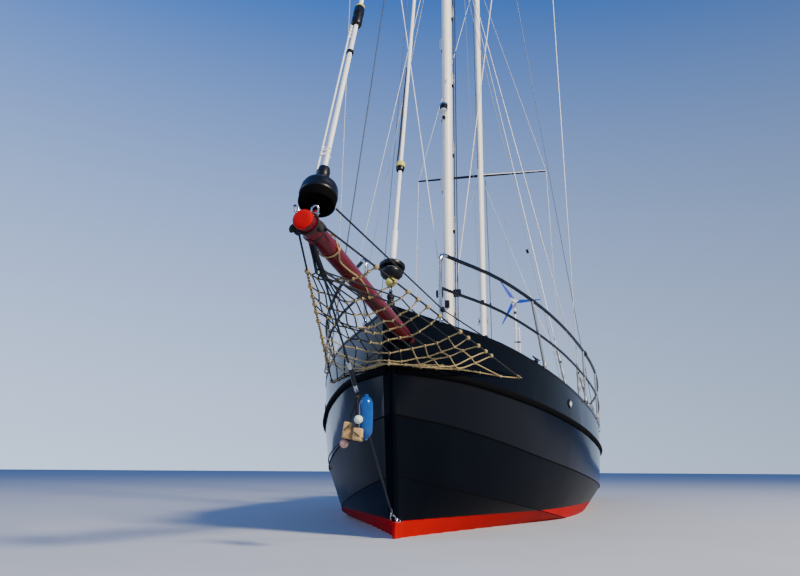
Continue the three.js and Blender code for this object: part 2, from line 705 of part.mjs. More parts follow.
function mastBody(mast, spreader, boom) {
  const foot = mastAt(mast, mast.foot);
  const head = mastAt(mast, mast.head);
  const along = new THREE.Vector3(...head).sub(new THREE.Vector3(...foot));
  const tube = ovalBar(mast.half[0], mast.half[1], along.length());
  tube.applyQuaternion(aim(along));
  tube.translate(...foot);
  const root = mastAt(mast, spreader.z);
  const arms = [-1, 1].map((side) => {
    const tip = [side * spreader.reach, root[1] + spreader.sweep, spreader.z + SPREADER_LIFT];
    return bar(root, tip, SPREADER_BAR.root, 10, SPREADER_BAR.tip);
  });
  const fore = mast.half[1] + CRANE.out;
  const crane = box(-CRANE.half, CRANE.half, head[1] - fore, head[1] + fore, head[2] - CRANE.deep, head[2]);
  const neck = mastAt(mast, boom.z);
  const pinY = neck[1] + mast.half[1] + GOOSENECK.reach;
  const reach = GOOSENECK.eyeHeight / 2 + GAP + GOOSENECK.ear;
  const ears = [-1, 1].map((side) => {
    const middle = boom.z + side * (reach - GOOSENECK.ear / 2);
    const [low, high] = [middle - GOOSENECK.ear / 2, middle + GOOSENECK.ear / 2];
    return box(-EAR.half, EAR.half, neck[1] + EAR.start, pinY + EAR.half, low, high);
  });
  const pin = bar([0, pinY, boom.z - reach], [0, pinY, boom.z + reach], GOOSENECK.pin, ROUND);
  return union([solid(tube), ...arms, crane, ...ears, pin]);
}

function boomBody({ length, rise, half }) {
  const spar = ovalBar(half[0], half[1], length - BOOM_START);
  spar.rotateX(-Math.PI / 2);
  spar.translate(0, BOOM_START, 0);
  spar.rotateX(Math.atan(rise));
  const { eye, eyeHeight, pin } = GOOSENECK;
  const ring = bar([0, 0, -eyeHeight / 2], [0, 0, eyeHeight / 2], eye, ROUND);
  const tongue = box(-14, 14, 10, BOOM_START + 40, -eyeHeight / 2 + 5, eyeHeight / 2 - 5);
  const hole = bar([0, 0, -100], [0, 0, 100], pin + RUNNING, ROUND);
  return union([solid(spar), ring, tongue]).subtract(hole);
}

// A wire with a rigging screw at its foot, straight or bent over a spreader's tip
function wireBody({ footY, footX, via, mast, top }) {
  const cap = lineAt("top", whereY("top", footY));
  const start = footX ? [footX, footY, DECK_SEAT] : [cap[0] - CHAINPLATE_INSET, cap[1], cap[2]];
  const head = mastAt(mast, top);
  const touch = mast.half[0] * Math.cos(Math.PI / SPAR_SIDES) + WIRE + GAP;
  const points = [start, [touch, head[1], head[2]]];
  if (via) points.splice(1, 0, [via.reach + 10, mastAt(mast, via.z)[1] + via.sweep, via.z + SPREADER_LIFT]);
  const up = new THREE.Vector3(...points[1]).sub(new THREE.Vector3(...start)).normalize();
  const screwEnd = new THREE.Vector3(...start).addScaledVector(up, SCREW.length).toArray();
  const parts = [bar(start, screwEnd, SCREW.radius, 8)];
  for (let i = 0; i + 1 < points.length; i += 1) parts.push(bar(points[i], points[i + 1], WIRE, 6));
  if (via) parts.push(solid(new THREE.SphereGeometry(TIP_CAP, 8, 6).translate(...points[1])));
  return beside(onDeck(union(parts)), bulwarkPlate, -1);
}

// Bowsprit, through a hole in the port bow beside the stem, its heel against a bitt on deck

const tip = new THREE.Vector3(...SPRIT.tip);
const heel = new THREE.Vector3(...SPRIT.root).lerp(tip, -SPRIT.heel);
const spritAxis = heel.clone().sub(tip).normalize();
const alongSprit = (distance) => tip.clone().addScaledVector(spritAxis, distance).toArray();

function spritTube(grow) {
  const { from, to, thick } = TIP_BAND;
  return bar(alongSprit(-grow), heel.toArray(), SPRIT.radius + grow, ROUND).add(
    bar(alongSprit(from - grow), alongSprit(to + grow), SPRIT.radius + thick + grow, ROUND),
  );
}

function alongStay({ foot, head }, distance) {
  const from = new THREE.Vector3(...foot);
  const along = new THREE.Vector3(...head).sub(from).normalize();
  return from.addScaledVector(along, distance).toArray();
}

// The rod a furler turns on, and the toggle that holds the rod
function stayFoot(stay, from) {
  const rod = bar(alongStay(stay, from), alongStay(stay, stay.start + STAY_SOCKET), STAY_ROD, ROUND);
  return rod.add(bar(alongStay(stay, from), alongStay(stay, stay.start - TOGGLE_END), 2 * STAY_ROD, 12));
}

function stemPostBody(stay) {
  const { y, radius, bottom, top, link } = STEM_POST;
  const post = bar([0, y, bottom], [0, y, top], radius, 12);
  return union([post, bar([0, y, top - 10], stay.foot, link, 10), stayFoot(stay, -10)]);
}

function stayHead(stay) {
  const length = new THREE.Vector3(...stay.foot).distanceTo(new THREE.Vector3(...stay.head));
  const low = length - stay.top - STAY_SOCKET;
  return bar(alongStay(stay, low), alongStay(stay, length + 20), STAY_ROD, ROUND);
}

// A furler about its own stay, which lies along local +Z: a drum below and a long round foil
function furlerBody({ foot, head, start, drum, foil, swivel, top }) {
  const length = new THREE.Vector3(...foot).distanceTo(new THREE.Vector3(...head)) - start - top;
  const half = swivel.length / 2;
  const outline = [
    [0, 0],
    ...drum,
    [foil, drum.at(-1)[1] + 6],
    [foil, swivel.at - half - 8],
    [swivel.radius, swivel.at - half],
    [swivel.radius, swivel.at + half],
    [foil, swivel.at + half + 8],
    [foil, length],
    [0, length],
  ];
  const geometry = new THREE.LatheGeometry(outline.map(([r, z]) => new THREE.Vector2(r, z)), 18);
  geometry.rotateX(Math.PI / 2);
  const hole = (from, to) => bar([0, 0, from], [0, 0, to], STAY_ROD + RUNNING, ROUND);
  const deep = STAY_SOCKET + 6;
  return solid(geometry).subtract(hole(-10, deep)).subtract(hole(length - deep, length + 10));
}

function placeOnStay(mesh, stay) {
  const along = new THREE.Vector3(...stay.head).sub(new THREE.Vector3(...stay.foot));
  mesh.quaternion.copy(aim(along));
  mesh.position.set(...alongStay(stay, stay.start));
}

// Bobstay: from under the bowsprit's tip to an eye on the stem just above the water

function stemEye(grow) {
  const { half, front, back, bottom, top } = STEM_EYE;
  return box(-half - grow, half + grow, front - grow, back + grow, bottom - grow, top + grow);
}

function bobstayPoint(distance) {
  const from = new THREE.Vector3(...alongSprit(BOBSTAY_HEAD));
  const to = new THREE.Vector3(0, STEM_EYE.front + 14, STEM_EYE.top - 10);
  const length = from.distanceTo(to);
  return from.lerp(to, Math.min(distance / length, 1)).toArray();
}

function bobstayBody() {
  const { from, to, radius } = BOBSTAY_SCREW;
  const rod = bar(bobstayPoint(0), bobstayPoint(Infinity), STAY_ROD, 8);
  return rod.add(bar(bobstayPoint(from), bobstayPoint(to), radius, 10));
}

// Floats hung from the bobstay on a line: an oval fender, a round float, a ring of cork and a ball
function floatsBody() {
  const hung = bobstayPoint(FLOATS.at);
  const [, above, high] = bobstayPoint(FLOATS.at - 1);
  const level = Math.hypot(hung[1] - above, hung[2] - high) / (hung[1] - above);
  const [x, y] = hung;
  const z = hung[2] - (STAY_ROD + GAP + FLOATS.knot) * level;
  const at = ([dx, dy, dz]) => [x + dx, y + dy, z + dz];
  const parts = FLOATS.beads.map(({ to, radii }) => {
    const bead = new THREE.SphereGeometry(1, 10, 7).scale(...radii);
    return solid(bead.translate(...at(to))).add(bar(at([0, 0, 0]), at(to), FLOATS.line, 6));
  });
  const knot = solid(new THREE.SphereGeometry(FLOATS.knot, 8, 6).translate(...at([0, 0, 0])));
  return union([knot, ...parts]);
}

// The y of the bow's outer face at a half-breadth and a height
function bowFace(x, z) {
  const at = (t) => {
    const rub = lineAt("rub", t);
    const top = lineAt("top", t);
    const share = THREE.MathUtils.clamp((z - rub[2]) / (top[2] - rub[2]), 0, 1);
    return rub.map((value, i) => THREE.MathUtils.lerp(value, top[i], share));
  };
  let low = 0;
  let high = 0.5;
  for (let i = 0; i < 30; i += 1) {
    const middle = (low + high) / 2;
    if (at(middle)[0] < x) low = middle;
    else high = middle;
  }
  const [, y] = at(low);
  return x < LINES.top.half[0] + 10 ? y - NOSE[0][1] : y;
}

// A cross rope's point: side runs from -1 on the starboard edge to +1 on the port edge
function netPoint(row, side) {
  const edge = side > 0 ? NET.starts.port : NET.starts.starboard;
  const end = [Math.sign(side || 1) * NET.end[0], NET.end[1], NET.end[2]];
  const held = edge.map((value, i) => THREE.MathUtils.lerp(value, end[i], row));
  const share = Math.abs(side);
  const x = held[0] * share;
  const belly = Math.min(held[1], NET.stem);
  const slack = NET.slack[0] + NET.slack[1] * Math.min(1, 1.15 * row) ** 2;
  const under = THREE.MathUtils.mapLinear(belly, SPRIT.tip[1], NET.stem, SPRIT.tip[2], 1500) - slack;
  const ledge = lineAt("rub", whereX(Math.abs(x)))[2] + RUB_TOP + NET.clear;
  const z = Math.max(THREE.MathUtils.lerp(under, held[2], share ** 1.7), row === 1 ? ledge : 0);
  const y = THREE.MathUtils.lerp(belly, held[1], share ** 1.2);
  return [x, Math.min(y, bowFace(Math.abs(x), z) - NET.clear), z];
}

// The share of the rub rail's length at which its half-breadth is x
function whereX(x) {
  let low = 0;
  let high = 0.5;
  for (let i = 0; i < 30; i += 1) {
    const middle = (low + high) / 2;
    if (lineAt("rub", middle)[0] < x) low = middle;
    else high = middle;
  }
  return low;
}

// A rope through points: a skin of small rings that stand across its way
function rope(points, radius, sides) {
  const at = points.map((point) => new THREE.Vector3(...point));
  const rings = at.map((point, i) => {
    const along = at[Math.min(i + 1, at.length - 1)].clone().sub(at[Math.max(i - 1, 0)]).normalize();
    const right = new THREE.Vector3(0, 0, 1).cross(along).normalize();
    const up = along.clone().cross(right);
    return Array.from({ length: sides }, (_, k) => {
      const angle = (2 * Math.PI * k) / sides;
      const out = right.clone().multiplyScalar(radius * Math.cos(angle));
      return point.clone().add(out).addScaledVector(up, radius * Math.sin(angle)).toArray();
    });
  });
  return loft(rings, true);
}

function netBody() {
  const steps = 2 * (NET.strands + 1);
  const sides = Array.from({ length: steps + 1 }, (_, i) => (2 * i) / steps - 1);
  const rows = NET.rows.map((row) => sides.map((side) => netPoint(row, side)));
  const parts = rows.map((points) => rope(points, NET.rope, 3));
  for (let i = 1; i <= NET.strands; i += 1) {
    const crossings = rows.map((points) => points[2 * i]);
    const under = crossings.map(([x, y, z]) => [x, y, z - NET.knot]);
    parts.push(rope([NET.gather, ...under], NET.rope, 3));
  }
  for (const [side, from] of [[1, NET.starts.port], [-1, NET.starts.starboard]]) {
    parts.push(rope([from, [side * NET.end[0], NET.end[1], NET.end[2]]], NET.stay, 5));
  }
  return union(parts).subtract(spritClearance);
}

// Guard rails: two rails on posts along the bulwark, from a bend by the bow to the stern

function railBody() {
  const posts = RAIL_POSTS.map(({ y }) => whereY("top", y));
  const places = Array.from({ length: RAIL.steps + 1 }, (_, i) => {
    return THREE.MathUtils.lerp(posts[0], posts.at(-1), i / RAIL.steps);
  });
  const level = (t, rise) => {
    const [x, y, z] = lineAt("top", t);
    return new THREE.Vector3(x + RAIL.out, y, z + rise);
  };
  const parts = [
    pipe(places.map((t) => level(t, RAIL.height)), RAIL.radius, 6, RAIL.steps),
    pipe(places.map((t) => level(t, RAIL.middle)), RAIL.post, 6, RAIL.steps),
  ];
  posts.forEach((t, i) => {
    const end = i === 0 || i === posts.length - 1;
    const radius = end ? RAIL.radius : RAIL.post;
    const { y, lean } = RAIL_POSTS[i];
    const head = level(whereY("top", y - lean), RAIL.height).toArray();
    parts.push(bar(level(t, 0).toArray(), head, radius, 6));
    if (end) parts.push(solid(new THREE.SphereGeometry(radius, 6, 4).translate(...level(t, RAIL.height))));
  });
  return beside(union(parts), bulwarkPlate, 1);
}

// Cockpit

function coamingBody() {
  const { front, back, half, top, thick } = COAMING;
  const outer = box(-half, half, front, back, 600, top);
  const inner = box(-half + thick, half - thick, front + thick, back - thick, 500, top + 10);
  return onDeck(outer.subtract(inner));
}

function lockerBody() {
  const { front, back, inner, outer, top } = LOCKER;
  return onDeck(box(inner, outer, front, back, 680, top));
}

function pedestalBody() {
  const { y, half, top } = PEDESTAL;
  const post = box(-half, half, y - half, y + half, WELL.floor + GAP, top);
  const bearing = bar([0, y, WHEEL.z], [0, y + half + 20, WHEEL.z], PEDESTAL.bearing, ROUND);
  const bore = bar([0, y, WHEEL.z], [0, y + half + 40, WHEEL.z], WHEEL.axle + RUNNING, ROUND);
  return post.add(bearing).subtract(bore);
}

// The wheel about its own centre, its axle along Y
function wheelBody() {
  const rim = new THREE.TorusGeometry(WHEEL.radius, WHEEL.rim, 6, 28);
  rim.rotateX(Math.PI / 2);
  const parts = [
    solid(rim),
    bar([0, -18, 0], [0, 18, 0], WHEEL.hub, 20),
    bar([0, PEDESTAL.y + 40 - WHEEL.y, 0], [0, 0, 0], WHEEL.axle, ROUND),
  ];
  for (let i = 0; i < WHEEL.spokes; i += 1) {
    const angle = (2 * Math.PI * i) / WHEEL.spokes;
    const end = [WHEEL.radius * Math.cos(angle), 0, WHEEL.radius * Math.sin(angle)];
    parts.push(bar([0, 0, 0], end, WHEEL.spoke, 8));
  }
  return union(parts);
}

function stepsBody() {
  const { left, right, sill } = COMPANION;
  const rise = (sill - CABIN.sole) / 4;
  const steps = [1, 2, 3].map((n) => {
    const front = CABIN.back - STEP_DEPTH * (4 - n);
    return box(left, right, front, CABIN.back - GAP, CABIN.sole + GAP, CABIN.sole + n * rise);
  });
  return union(steps);
}

// Wind generator

function poleBody() {
  const { x, y, top } = WIND;
  const { out, radius, short, clips, clip } = SECOND_POLE;
  const main = bar([x, y, POLE_FOOT], [x, y, top], WIND.pole, ROUND);
  const pin = bar([x, y, top - 10], [x, y, top + WIND_PIN.up], WIND_PIN.radius, ROUND);
  const stay = bar([x + out, y, POLE_FOOT], [x + out, y, top - short], radius, 12);
  const bands = clips.map((z) => box(x, x + out, y - clip, y + clip, z, z + 30));
  return onDeck(union([main, pin, stay, ...bands]));
}

// The generator's head about the top of its pole: a neck, a round body and a tail fin
function headBody() {
  const rise = WIND.hub - WIND.top;
  const shell = new THREE.LatheGeometry(WIND_HEAD.map(([r, y]) => new THREE.Vector2(r, y)), 20);
  shell.translate(0, 0, rise);
  const neck = bar([0, 0, GAP], [0, 0, rise], 30, ROUND);
  const fin = box(-4, 4, 150, 480, rise - 20, rise + 150);
  const socket = bar([0, 0, -10], [0, 0, WIND_PIN.up + 6], WIND_PIN.radius + RUNNING, ROUND);
  const bore = bar([0, -140, rise], [0, -60, rise], WIND_AXLE + RUNNING, ROUND);
  return union([solid(shell), neck, fin]).subtract(socket).subtract(bore);
}

// The rotor about its hub: the axle runs back along +Y into the head
function rotorBody() {
  const parts = [bar([0, -50, 0], [0, 5, 0], 20, ROUND, 46), bar([0, 0, 0], [0, 65, 0], WIND_AXLE, ROUND)];
  const outline = new THREE.Shape();
  outline.moveTo(30, -34);
  outline.lineTo(120, -46);
  outline.lineTo(WIND.radius, -6);
  outline.lineTo(WIND.radius, 12);
  outline.lineTo(120, 34);
  outline.lineTo(30, 22);
  for (let i = 0; i < WIND.blades; i += 1) {
    const blade = new THREE.ExtrudeGeometry(outline, { depth: BLADE.thick, bevelEnabled: false });
    blade.translate(0, 0, -BLADE.thick / 2);
    blade.rotateX(Math.PI / 2 + BLADE.lean);
    blade.rotateY(-WIND.rest - (2 * Math.PI * i) / WIND.blades);
    blade.translate(0, -BLADE.ahead, 0);
    parts.push(solid(blade));
  }
  return union(parts);
}

function winches() {
  const [, y] = mastAt(MAIN, MAST_WINCH.z);
  const reach = MAIN.half[0] + MAST_WINCH.depth;
  return bar([-reach, y, MAST_WINCH.z], [reach, y, MAST_WINCH.z], MAST_WINCH.radius, 20);
}

// Assembly

const [jib, staysail] = HEADSTAYS;
const spritClearance = spritTube(GAP);
const collar = bar(alongSprit(COLLAR.from), alongSprit(COLLAR.to), SPRIT.radius + COLLAR.wide, ROUND);
const bulwarkPlate = bulwarkBody();
const bulwarkPort = beside(bulwarkPlate.add(collar), plainHull, 1).subtract(spritClearance);
const bitt = box(BITT.x0, BITT.x1, BITT.front, BITT.back, BITT.bottom, BITT.top);
const hullWhole = union([hull, stemEye(0), stemPostBody(staysail)]).subtract(spritClearance).add(bitt);
const besideBitt = [BITT.x0 - HEEL_CUT, BITT.x1 + HEEL_CUT, BITT.front - GAP, BITT.back + HEEL_CUT];
const behindHeel = box(...besideBitt, BITT.bottom - HEEL_CUT, BITT.top + HEEL_CUT);
const sprit = spritTube(0).add(stayFoot(jib, -40)).subtract(behindHeel);

for (const [part, ends] of Object.entries(HULL_LENGTHS)) {
  add(`hull_${part}`, between(hullWhole, ends), finish.topsides());
}
add("keel", keelBody(), finish.antifouling());
add("rudder", rudderBody(), finish.antifouling());
const propeller = add("propeller", propellerBody(), finish.bronze());
propeller.position.set(0, SHAFT.hub, SHAFT.z);
for (const [part, ends] of Object.entries(BULWARK_LENGTHS)) {
  add(`bulwark_${part}_port`, between(bulwarkPort, ends), finish.topsides());
  add(`bulwark_${part}_starboard`, between(mirrored(bulwarkPlate), ends), finish.topsides());
}
add("bulwark_stern", sternPlateBody(), finish.topsides());

const roof = coachroofBody().add(doorPins());
for (const [part, ends] of Object.entries(HOUSE_LENGTHS)) {
  add(part, between(roof, ends), finish.whitePaint());
}
for (const window of windows) add(window.name, windowSolid(window, GAP, GLASS), finish.glass());
for (const { name, front, back, half, top } of HATCHES) {
  const { lap, thick } = HATCH_LID;
  add(name, box(-half - lap, half + lap, front - lap, back + lap, top, top + thick), finish.whitePaint());
}
const { left, right, hatchBottom } = COMPANION;
const { lap: slideLap, front: slideFront, back: slideBack, thick: slideThick } = SLIDE;
const slideBox = [left - slideLap, right + slideLap, slideFront, slideBack, hatchBottom];
const slide = box(...slideBox, hatchBottom + slideThick);
add("companion_hatch", slide, finish.whitePaint());
add("companion_door", doorBody(), finish.teak());
add("companion_steps", stepsBody(), finish.teak());
add("cockpit_coaming", coamingBody(), finish.whitePaint());
add("locker_lid_port", lockerBody(), finish.teak());
add("locker_lid_starboard", mirrored(lockerBody()), finish.teak());
add("steering_pedestal", pedestalBody(), finish.whitePaint());
const wheel = add("steering_wheel", wheelBody(), finish.steel());
wheel.position.set(0, WHEEL.y, WHEEL.z);

const raisedRoof = roof.translate([0, 0, GAP]);
const heads = union([stayHead(jib), stayHead(staysail)]);
const mainMast = union([mastBody(MAIN, MAIN_SPREADER, BOOMS[0]), heads, winches()]).subtract(raisedRoof);
add("main_mast", mainMast, finish.spar());
add("mizzen_mast", onDeck(mastBody(MIZZEN, MIZZEN_SPREADER, BOOMS[1])), finish.spar());
for (const boom of BOOMS) {
  const mesh = add(boom.name, boomBody(boom), finish.spar());
  mesh.position.set(0, mastAt(boom.mast, boom.z)[1] + boom.mast.half[1] + GOOSENECK.reach, boom.z);
}
for (const shroud of SHROUDS) {
  const wire = wireBody(shroud);
  add(`${shroud.name}_port`, wire, finish.steel());
  add(`${shroud.name}_starboard`, mirrored(wire), finish.steel());
}

add("bowsprit", sprit, finish.spritPaint());
add("bobstay", bobstayBody().subtract(spritClearance).subtract(stemEye(GAP)), finish.steel());
add("bow_net", netBody(), finish.rope());
add("bow_floats", floatsBody(), finish.whitePaint());
for (const stay of HEADSTAYS) placeOnStay(add(stay.name, furlerBody(stay), finish.foil()), stay);

const rail = railBody();
for (const [part, ends] of Object.entries(RAIL_LENGTHS)) {
  add(`guard_rail_${part}_port`, between(rail, ends), finish.steel());
  add(`guard_rail_${part}_starboard`, between(mirrored(rail), ends), finish.steel());
}
add("wind_pole", poleBody(), finish.whitePaint());
const windHead = add("wind_head", headBody(), finish.whitePaint());
windHead.position.set(WIND.x, WIND.y, WIND.top);
const rotor = add("wind_rotor", rotorBody(), finish.blade());
rotor.position.set(WIND.x, WIND.y - ROTOR_AHEAD, WIND.hub);

export default yacht;
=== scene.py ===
# %% [markdown]
# # A steel ketch, dressed for the picture
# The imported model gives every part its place. This script gives the parts their looks: paint over
# welded plate, laid rope, turned fittings, and the small gear that a solid model leaves out.

# %% Load the fixed frame
import math
import random

import bmesh
import bpy
from mathutils import Matrix, Vector


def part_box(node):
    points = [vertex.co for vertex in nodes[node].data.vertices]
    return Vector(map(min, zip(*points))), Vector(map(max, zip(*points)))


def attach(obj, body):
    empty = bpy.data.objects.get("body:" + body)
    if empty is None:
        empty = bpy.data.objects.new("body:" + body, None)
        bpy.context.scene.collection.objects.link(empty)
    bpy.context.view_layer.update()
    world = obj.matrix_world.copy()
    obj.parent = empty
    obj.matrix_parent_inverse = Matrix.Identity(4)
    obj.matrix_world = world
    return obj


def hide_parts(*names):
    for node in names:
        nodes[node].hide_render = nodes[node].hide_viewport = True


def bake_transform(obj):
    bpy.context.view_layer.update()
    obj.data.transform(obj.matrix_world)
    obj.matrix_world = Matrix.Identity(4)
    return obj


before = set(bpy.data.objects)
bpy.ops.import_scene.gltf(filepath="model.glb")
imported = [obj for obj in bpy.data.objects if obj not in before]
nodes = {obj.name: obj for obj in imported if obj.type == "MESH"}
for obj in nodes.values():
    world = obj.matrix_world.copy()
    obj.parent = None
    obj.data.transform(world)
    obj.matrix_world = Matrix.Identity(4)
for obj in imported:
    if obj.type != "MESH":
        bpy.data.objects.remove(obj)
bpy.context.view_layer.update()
random.seed(7)
SIDES = ((1, "port"), (-1, "starboard"))
print("parts in the frame:", len(nodes))

# %% [markdown]
# ## The camera
# The boat was seen from low on the water, ahead of the port bow, looking slightly up. The camera's
# place and its three angles came from lines that the boat must have, such as level rails.


# %% The camera
def vec(x, y, z):
    return Vector((x, y, z))


def add_object(name, data):
    made = bpy.data.objects.new(name, data)
    bpy.context.scene.collection.objects.link(made)
    return made


CAMERA_AT = vec(1.2878, -10.6774, 0.5048)
YAW, PITCH, ROLL = (math.radians(angle) for angle in (12.9035, 14.2952, 0.3145))
LENS, FILM_WIDTH, NEAREST, FARTHEST = 32.035, 36, 0.05, 500

ahead = vec(-math.sin(YAW) * math.cos(PITCH), math.cos(YAW) * math.cos(PITCH), math.sin(PITCH))
level = vec(math.cos(YAW), math.sin(YAW), 0)
right = math.cos(ROLL) * level + math.sin(ROLL) * level.cross(ahead)
lens_data = bpy.data.cameras.new("camera")
lens_data.lens, lens_data.sensor_width = LENS, FILM_WIDTH
lens_data.clip_start, lens_data.clip_end = NEAREST, FARTHEST
camera = add_object("camera", lens_data)
facing = Matrix((right, right.cross(ahead), -ahead)).transposed().to_4x4()
camera.matrix_world = Matrix.Translation(CAMERA_AT) @ facing
bpy.context.scene.camera = camera
print("camera looks along", [round(v, 3) for v in ahead])

# %% [markdown]
# ## One way to write a colour and one way to add a node
# Paint shops and screens name colours in sRGB, while the renderer counts in linear light, so one
# function turns a hex value over. Another adds any node with its settings and links.


# %% Colour and node helpers
def linear(hex_text):
    shares = [int(hex_text[i:i + 2], 16) / 255 for i in (0, 2, 4)]
    return (*[c / 12.92 if c <= 0.04045 else ((c + 0.055) / 1.055) ** 2.4 for c in shares], 1.0)


def add_node(owner, kind, inputs=None, **settings):
    made = owner.node_tree.nodes.new(kind)
    for name, value in settings.items():
        setattr(made, name, value)
    for name, value in (inputs or {}).items():
        if isinstance(value, bpy.types.NodeSocket):
            owner.node_tree.links.new(value, made.inputs[name])
        else:
            made.inputs[name].default_value = value
    return made


def feed(owner, node, sockets):
    for name, socket in sockets.items():
        owner.node_tree.links.new(socket, node.inputs[name])


def clouds(owner, place, width, detail):
    """A pattern whose blotches are this many millimetres wide."""
    inputs = {"Vector": place, "Scale": 1000 / width, "Detail": detail}
    return add_node(owner, "ShaderNodeTexNoise", inputs).outputs["Fac"]


def between(owner, share, start, end):
    """The mix of two colours, each in linear light or from a socket."""
    inputs = {"Factor": share, "A": start, "B": end}
    return add_node(owner, "ShaderNodeMix", inputs, data_type="RGBA").outputs["Result"]


def ranged(owner, value, to, span=(0.0, 1.0)):
    inputs = {"Value": value, "From Min": span[0], "From Max": span[1], "To Min": to[0], "To Max": to[1]}
    return add_node(owner, "ShaderNodeMapRange", inputs).outputs["Result"]


def bumps(owner, height, depth):
    inputs = {"Height": height, "Distance": depth / 1000}
    return add_node(owner, "ShaderNodeBump", inputs).outputs["Normal"]


# %% [markdown]
# ## What a paint is
# A finish has its constants on its shader. A paint adds two tones in blotches, a fine grain as bump,
# and often a roughness that follows the blotches.


def finish(name, slot, colour, **sockets):
    material = bpy.data.materials.new(name)
    material.use_nodes = True
    shader = material.node_tree.nodes["Principled BSDF"]
    for socket, value in {"Base Color": linear(colour), **sockets}.items():
        shader.inputs[socket.replace("_", " ")].default_value = value
    return material, shader


def paint(name, slot, colours, blotch, grain, depth, rough, stretch=(1, 1, 1), **sockets):
    """colours are plain, light and dark. Sizes are in millimetres. rough may end in its span over
    the blotches. stretch below 1 draws the blotches out."""
    plain, light, dark = colours.split()
    even, *span = rough if isinstance(rough, tuple) else [rough]
    material, shader = finish(name, slot, plain, Roughness=even, **sockets)
    place = add_node(material, "ShaderNodeTexCoord").outputs["Object"]
    drawn = add_node(material, "ShaderNodeMapping", {"Vector": place, "Scale": stretch}).outputs["Vector"]
    cloud = clouds(material, drawn, blotch, 5.0)
    feed(material, shader, {"Base Color": between(material, cloud, linear(dark), linear(light)),
                            "Normal": bumps(material, clouds(material, drawn, grain, 3.0), depth)})
    if span:
        feed(material, shader, {"Roughness": ranged(material, cloud, span)})
    return material


print("paints can be mixed")

# %% [markdown]
# ## Floor and light
# The floor lies at the waterline, as the water did, so the boat stands in it to its red boot-top.
# A big soft panel stands high off the port bow, where the sun was. The sky all round is pale at the
# horizon and blue overhead, and gloss paint needs that slope of brightness to show its shape.

# %% Floor and sky
FLOOR_SIZE, SKY_RISE = 300, 0.6
bpy.ops.object.select_all(action="DESELECT")
bpy.ops.mesh.primitive_plane_add(size=FLOOR_SIZE, location=(0, 0, 0))
floor = bpy.context.object
floor.name = "studio_floor"
floor.data.materials.append(paint("pale_studio_floor", "", "a9aeb5 b0b5bb a2a7ae", 900, 40, 0.4, 0.9))

sky = bpy.data.worlds.new("studio_sky")
bpy.context.scene.world = sky
sky.use_nodes = True
direction = add_node(sky, "ShaderNodeTexCoord").outputs["Generated"]
rise = add_node(sky, "ShaderNodeSeparateXYZ", {"Vector": direction}).outputs
tone = ranged(sky, rise["Z"], (0.0, 1.0), (0.0, SKY_RISE))
# The side away from the sun is the brighter one low down, as seen in the starboard bow's reflection
across = ranged(sky, rise["X"], (1.7, 0.55), (-1.0, 1.0))
feed(sky, sky.node_tree.nodes["Background"],
     {"Color": between(sky, tone, linear("c3d8f6"), linear("3468bc")), "Strength": across})

LIT_POINT = vec(0, 0, 3)
for name, at, size, watts, colour in (("key_panel", (20, -15, 17), 5, 16000, "fff2de"),
                                      ("fill_panel", (-20, -10, 14), 12, 900, "e8f0ff")):
    data = bpy.data.lights.new(name, "AREA")
    data.shape, data.size, data.energy, data.color = "DISK", size, watts, linear(colour)[:3]
    towards = (LIT_POINT - Vector(at)).to_track_quat("-Z", "Y")
    add_object(name, data).matrix_world = Matrix.Translation(at) @ towards.to_matrix().to_4x4()
print("lights and floor are set")

# %% [markdown]
# ## Hull paint
# The topsides are two-pack gloss enamel sprayed over welded plate. The gloss is mirror smooth, but
# the plate under it is never quite fair, so reflections bend slowly along the side. The lowest
# 125 mm above the water are red underwater paint, which is matt, and the stem bar has lost its gloss.
# Below the upper chine, salt and fenders have dulled the enamel too.

# %% Hull enamel with its boot-top
BOOT_TOP, BOOT_ROUGH = 0.125, 0.5
BOOT_TONES, ENAMEL_TONES = ("980006", "b80408"), ("03050a", "070b14")
STEM_BAND = {"from": -0.086, "to": 0.028, "behind": -5.0, "rougher": 0.6, "shine_lost": 0.75}


def plate_enamel(name, mirror, blur):
    """Enamel over a red boot-top. mirror is how strongly it reflects and blur its roughness."""
    enamel, shader = finish(name, "topsides", "060a12", Roughness=blur, IOR=1.22)
    place = add_node(enamel, "ShaderNodeTexCoord").outputs["Object"]
    spots = add_node(enamel, "ShaderNodeSeparateXYZ", {"Vector": place}).outputs

    def reckon(operation, *values):
        return add_node(enamel, "ShaderNodeMath", dict(enumerate(values)), operation=operation).outputs[0]

    above_boot = reckon("GREATER_THAN", spots["Z"], BOOT_TOP)
    band = above_boot
    for operation, axis, edge in (("GREATER_THAN", "X", "from"), ("LESS_THAN", "X", "to"),
                                  ("LESS_THAN", "Y", "behind")):
        band = reckon("MULTIPLY", band, reckon(operation, spots[axis], STEM_BAND[edge]))
    cloud = clouds(enamel, place, 350, 6.0)
    boot, side = (between(enamel, cloud, *map(linear, tones)) for tones in (BOOT_TONES, ENAMEL_TONES))
    gloss = ranged(enamel, above_boot, (BOOT_ROUGH, blur))
    feed(enamel, shader, {
        "Base Color": between(enamel, above_boot, boot, side),
        "Roughness": reckon("MULTIPLY_ADD", band, STEM_BAND["rougher"], gloss),
        "Specular IOR Level": reckon("MULTIPLY_ADD", band, -STEM_BAND["shine_lost"] * mirror, mirror),
        "Normal": bumps(enamel, clouds(enamel, place, 700, 1.0), 6)})
    return enamel


hull_enamel = plate_enamel("gloss_enamel_on_steel_plate", 0.4, 0.12)
low_enamel = plate_enamel("salt_dulled_enamel_on_steel_plate", 0.14, 0.3)
print("boot-top up to", BOOT_TOP, "m")
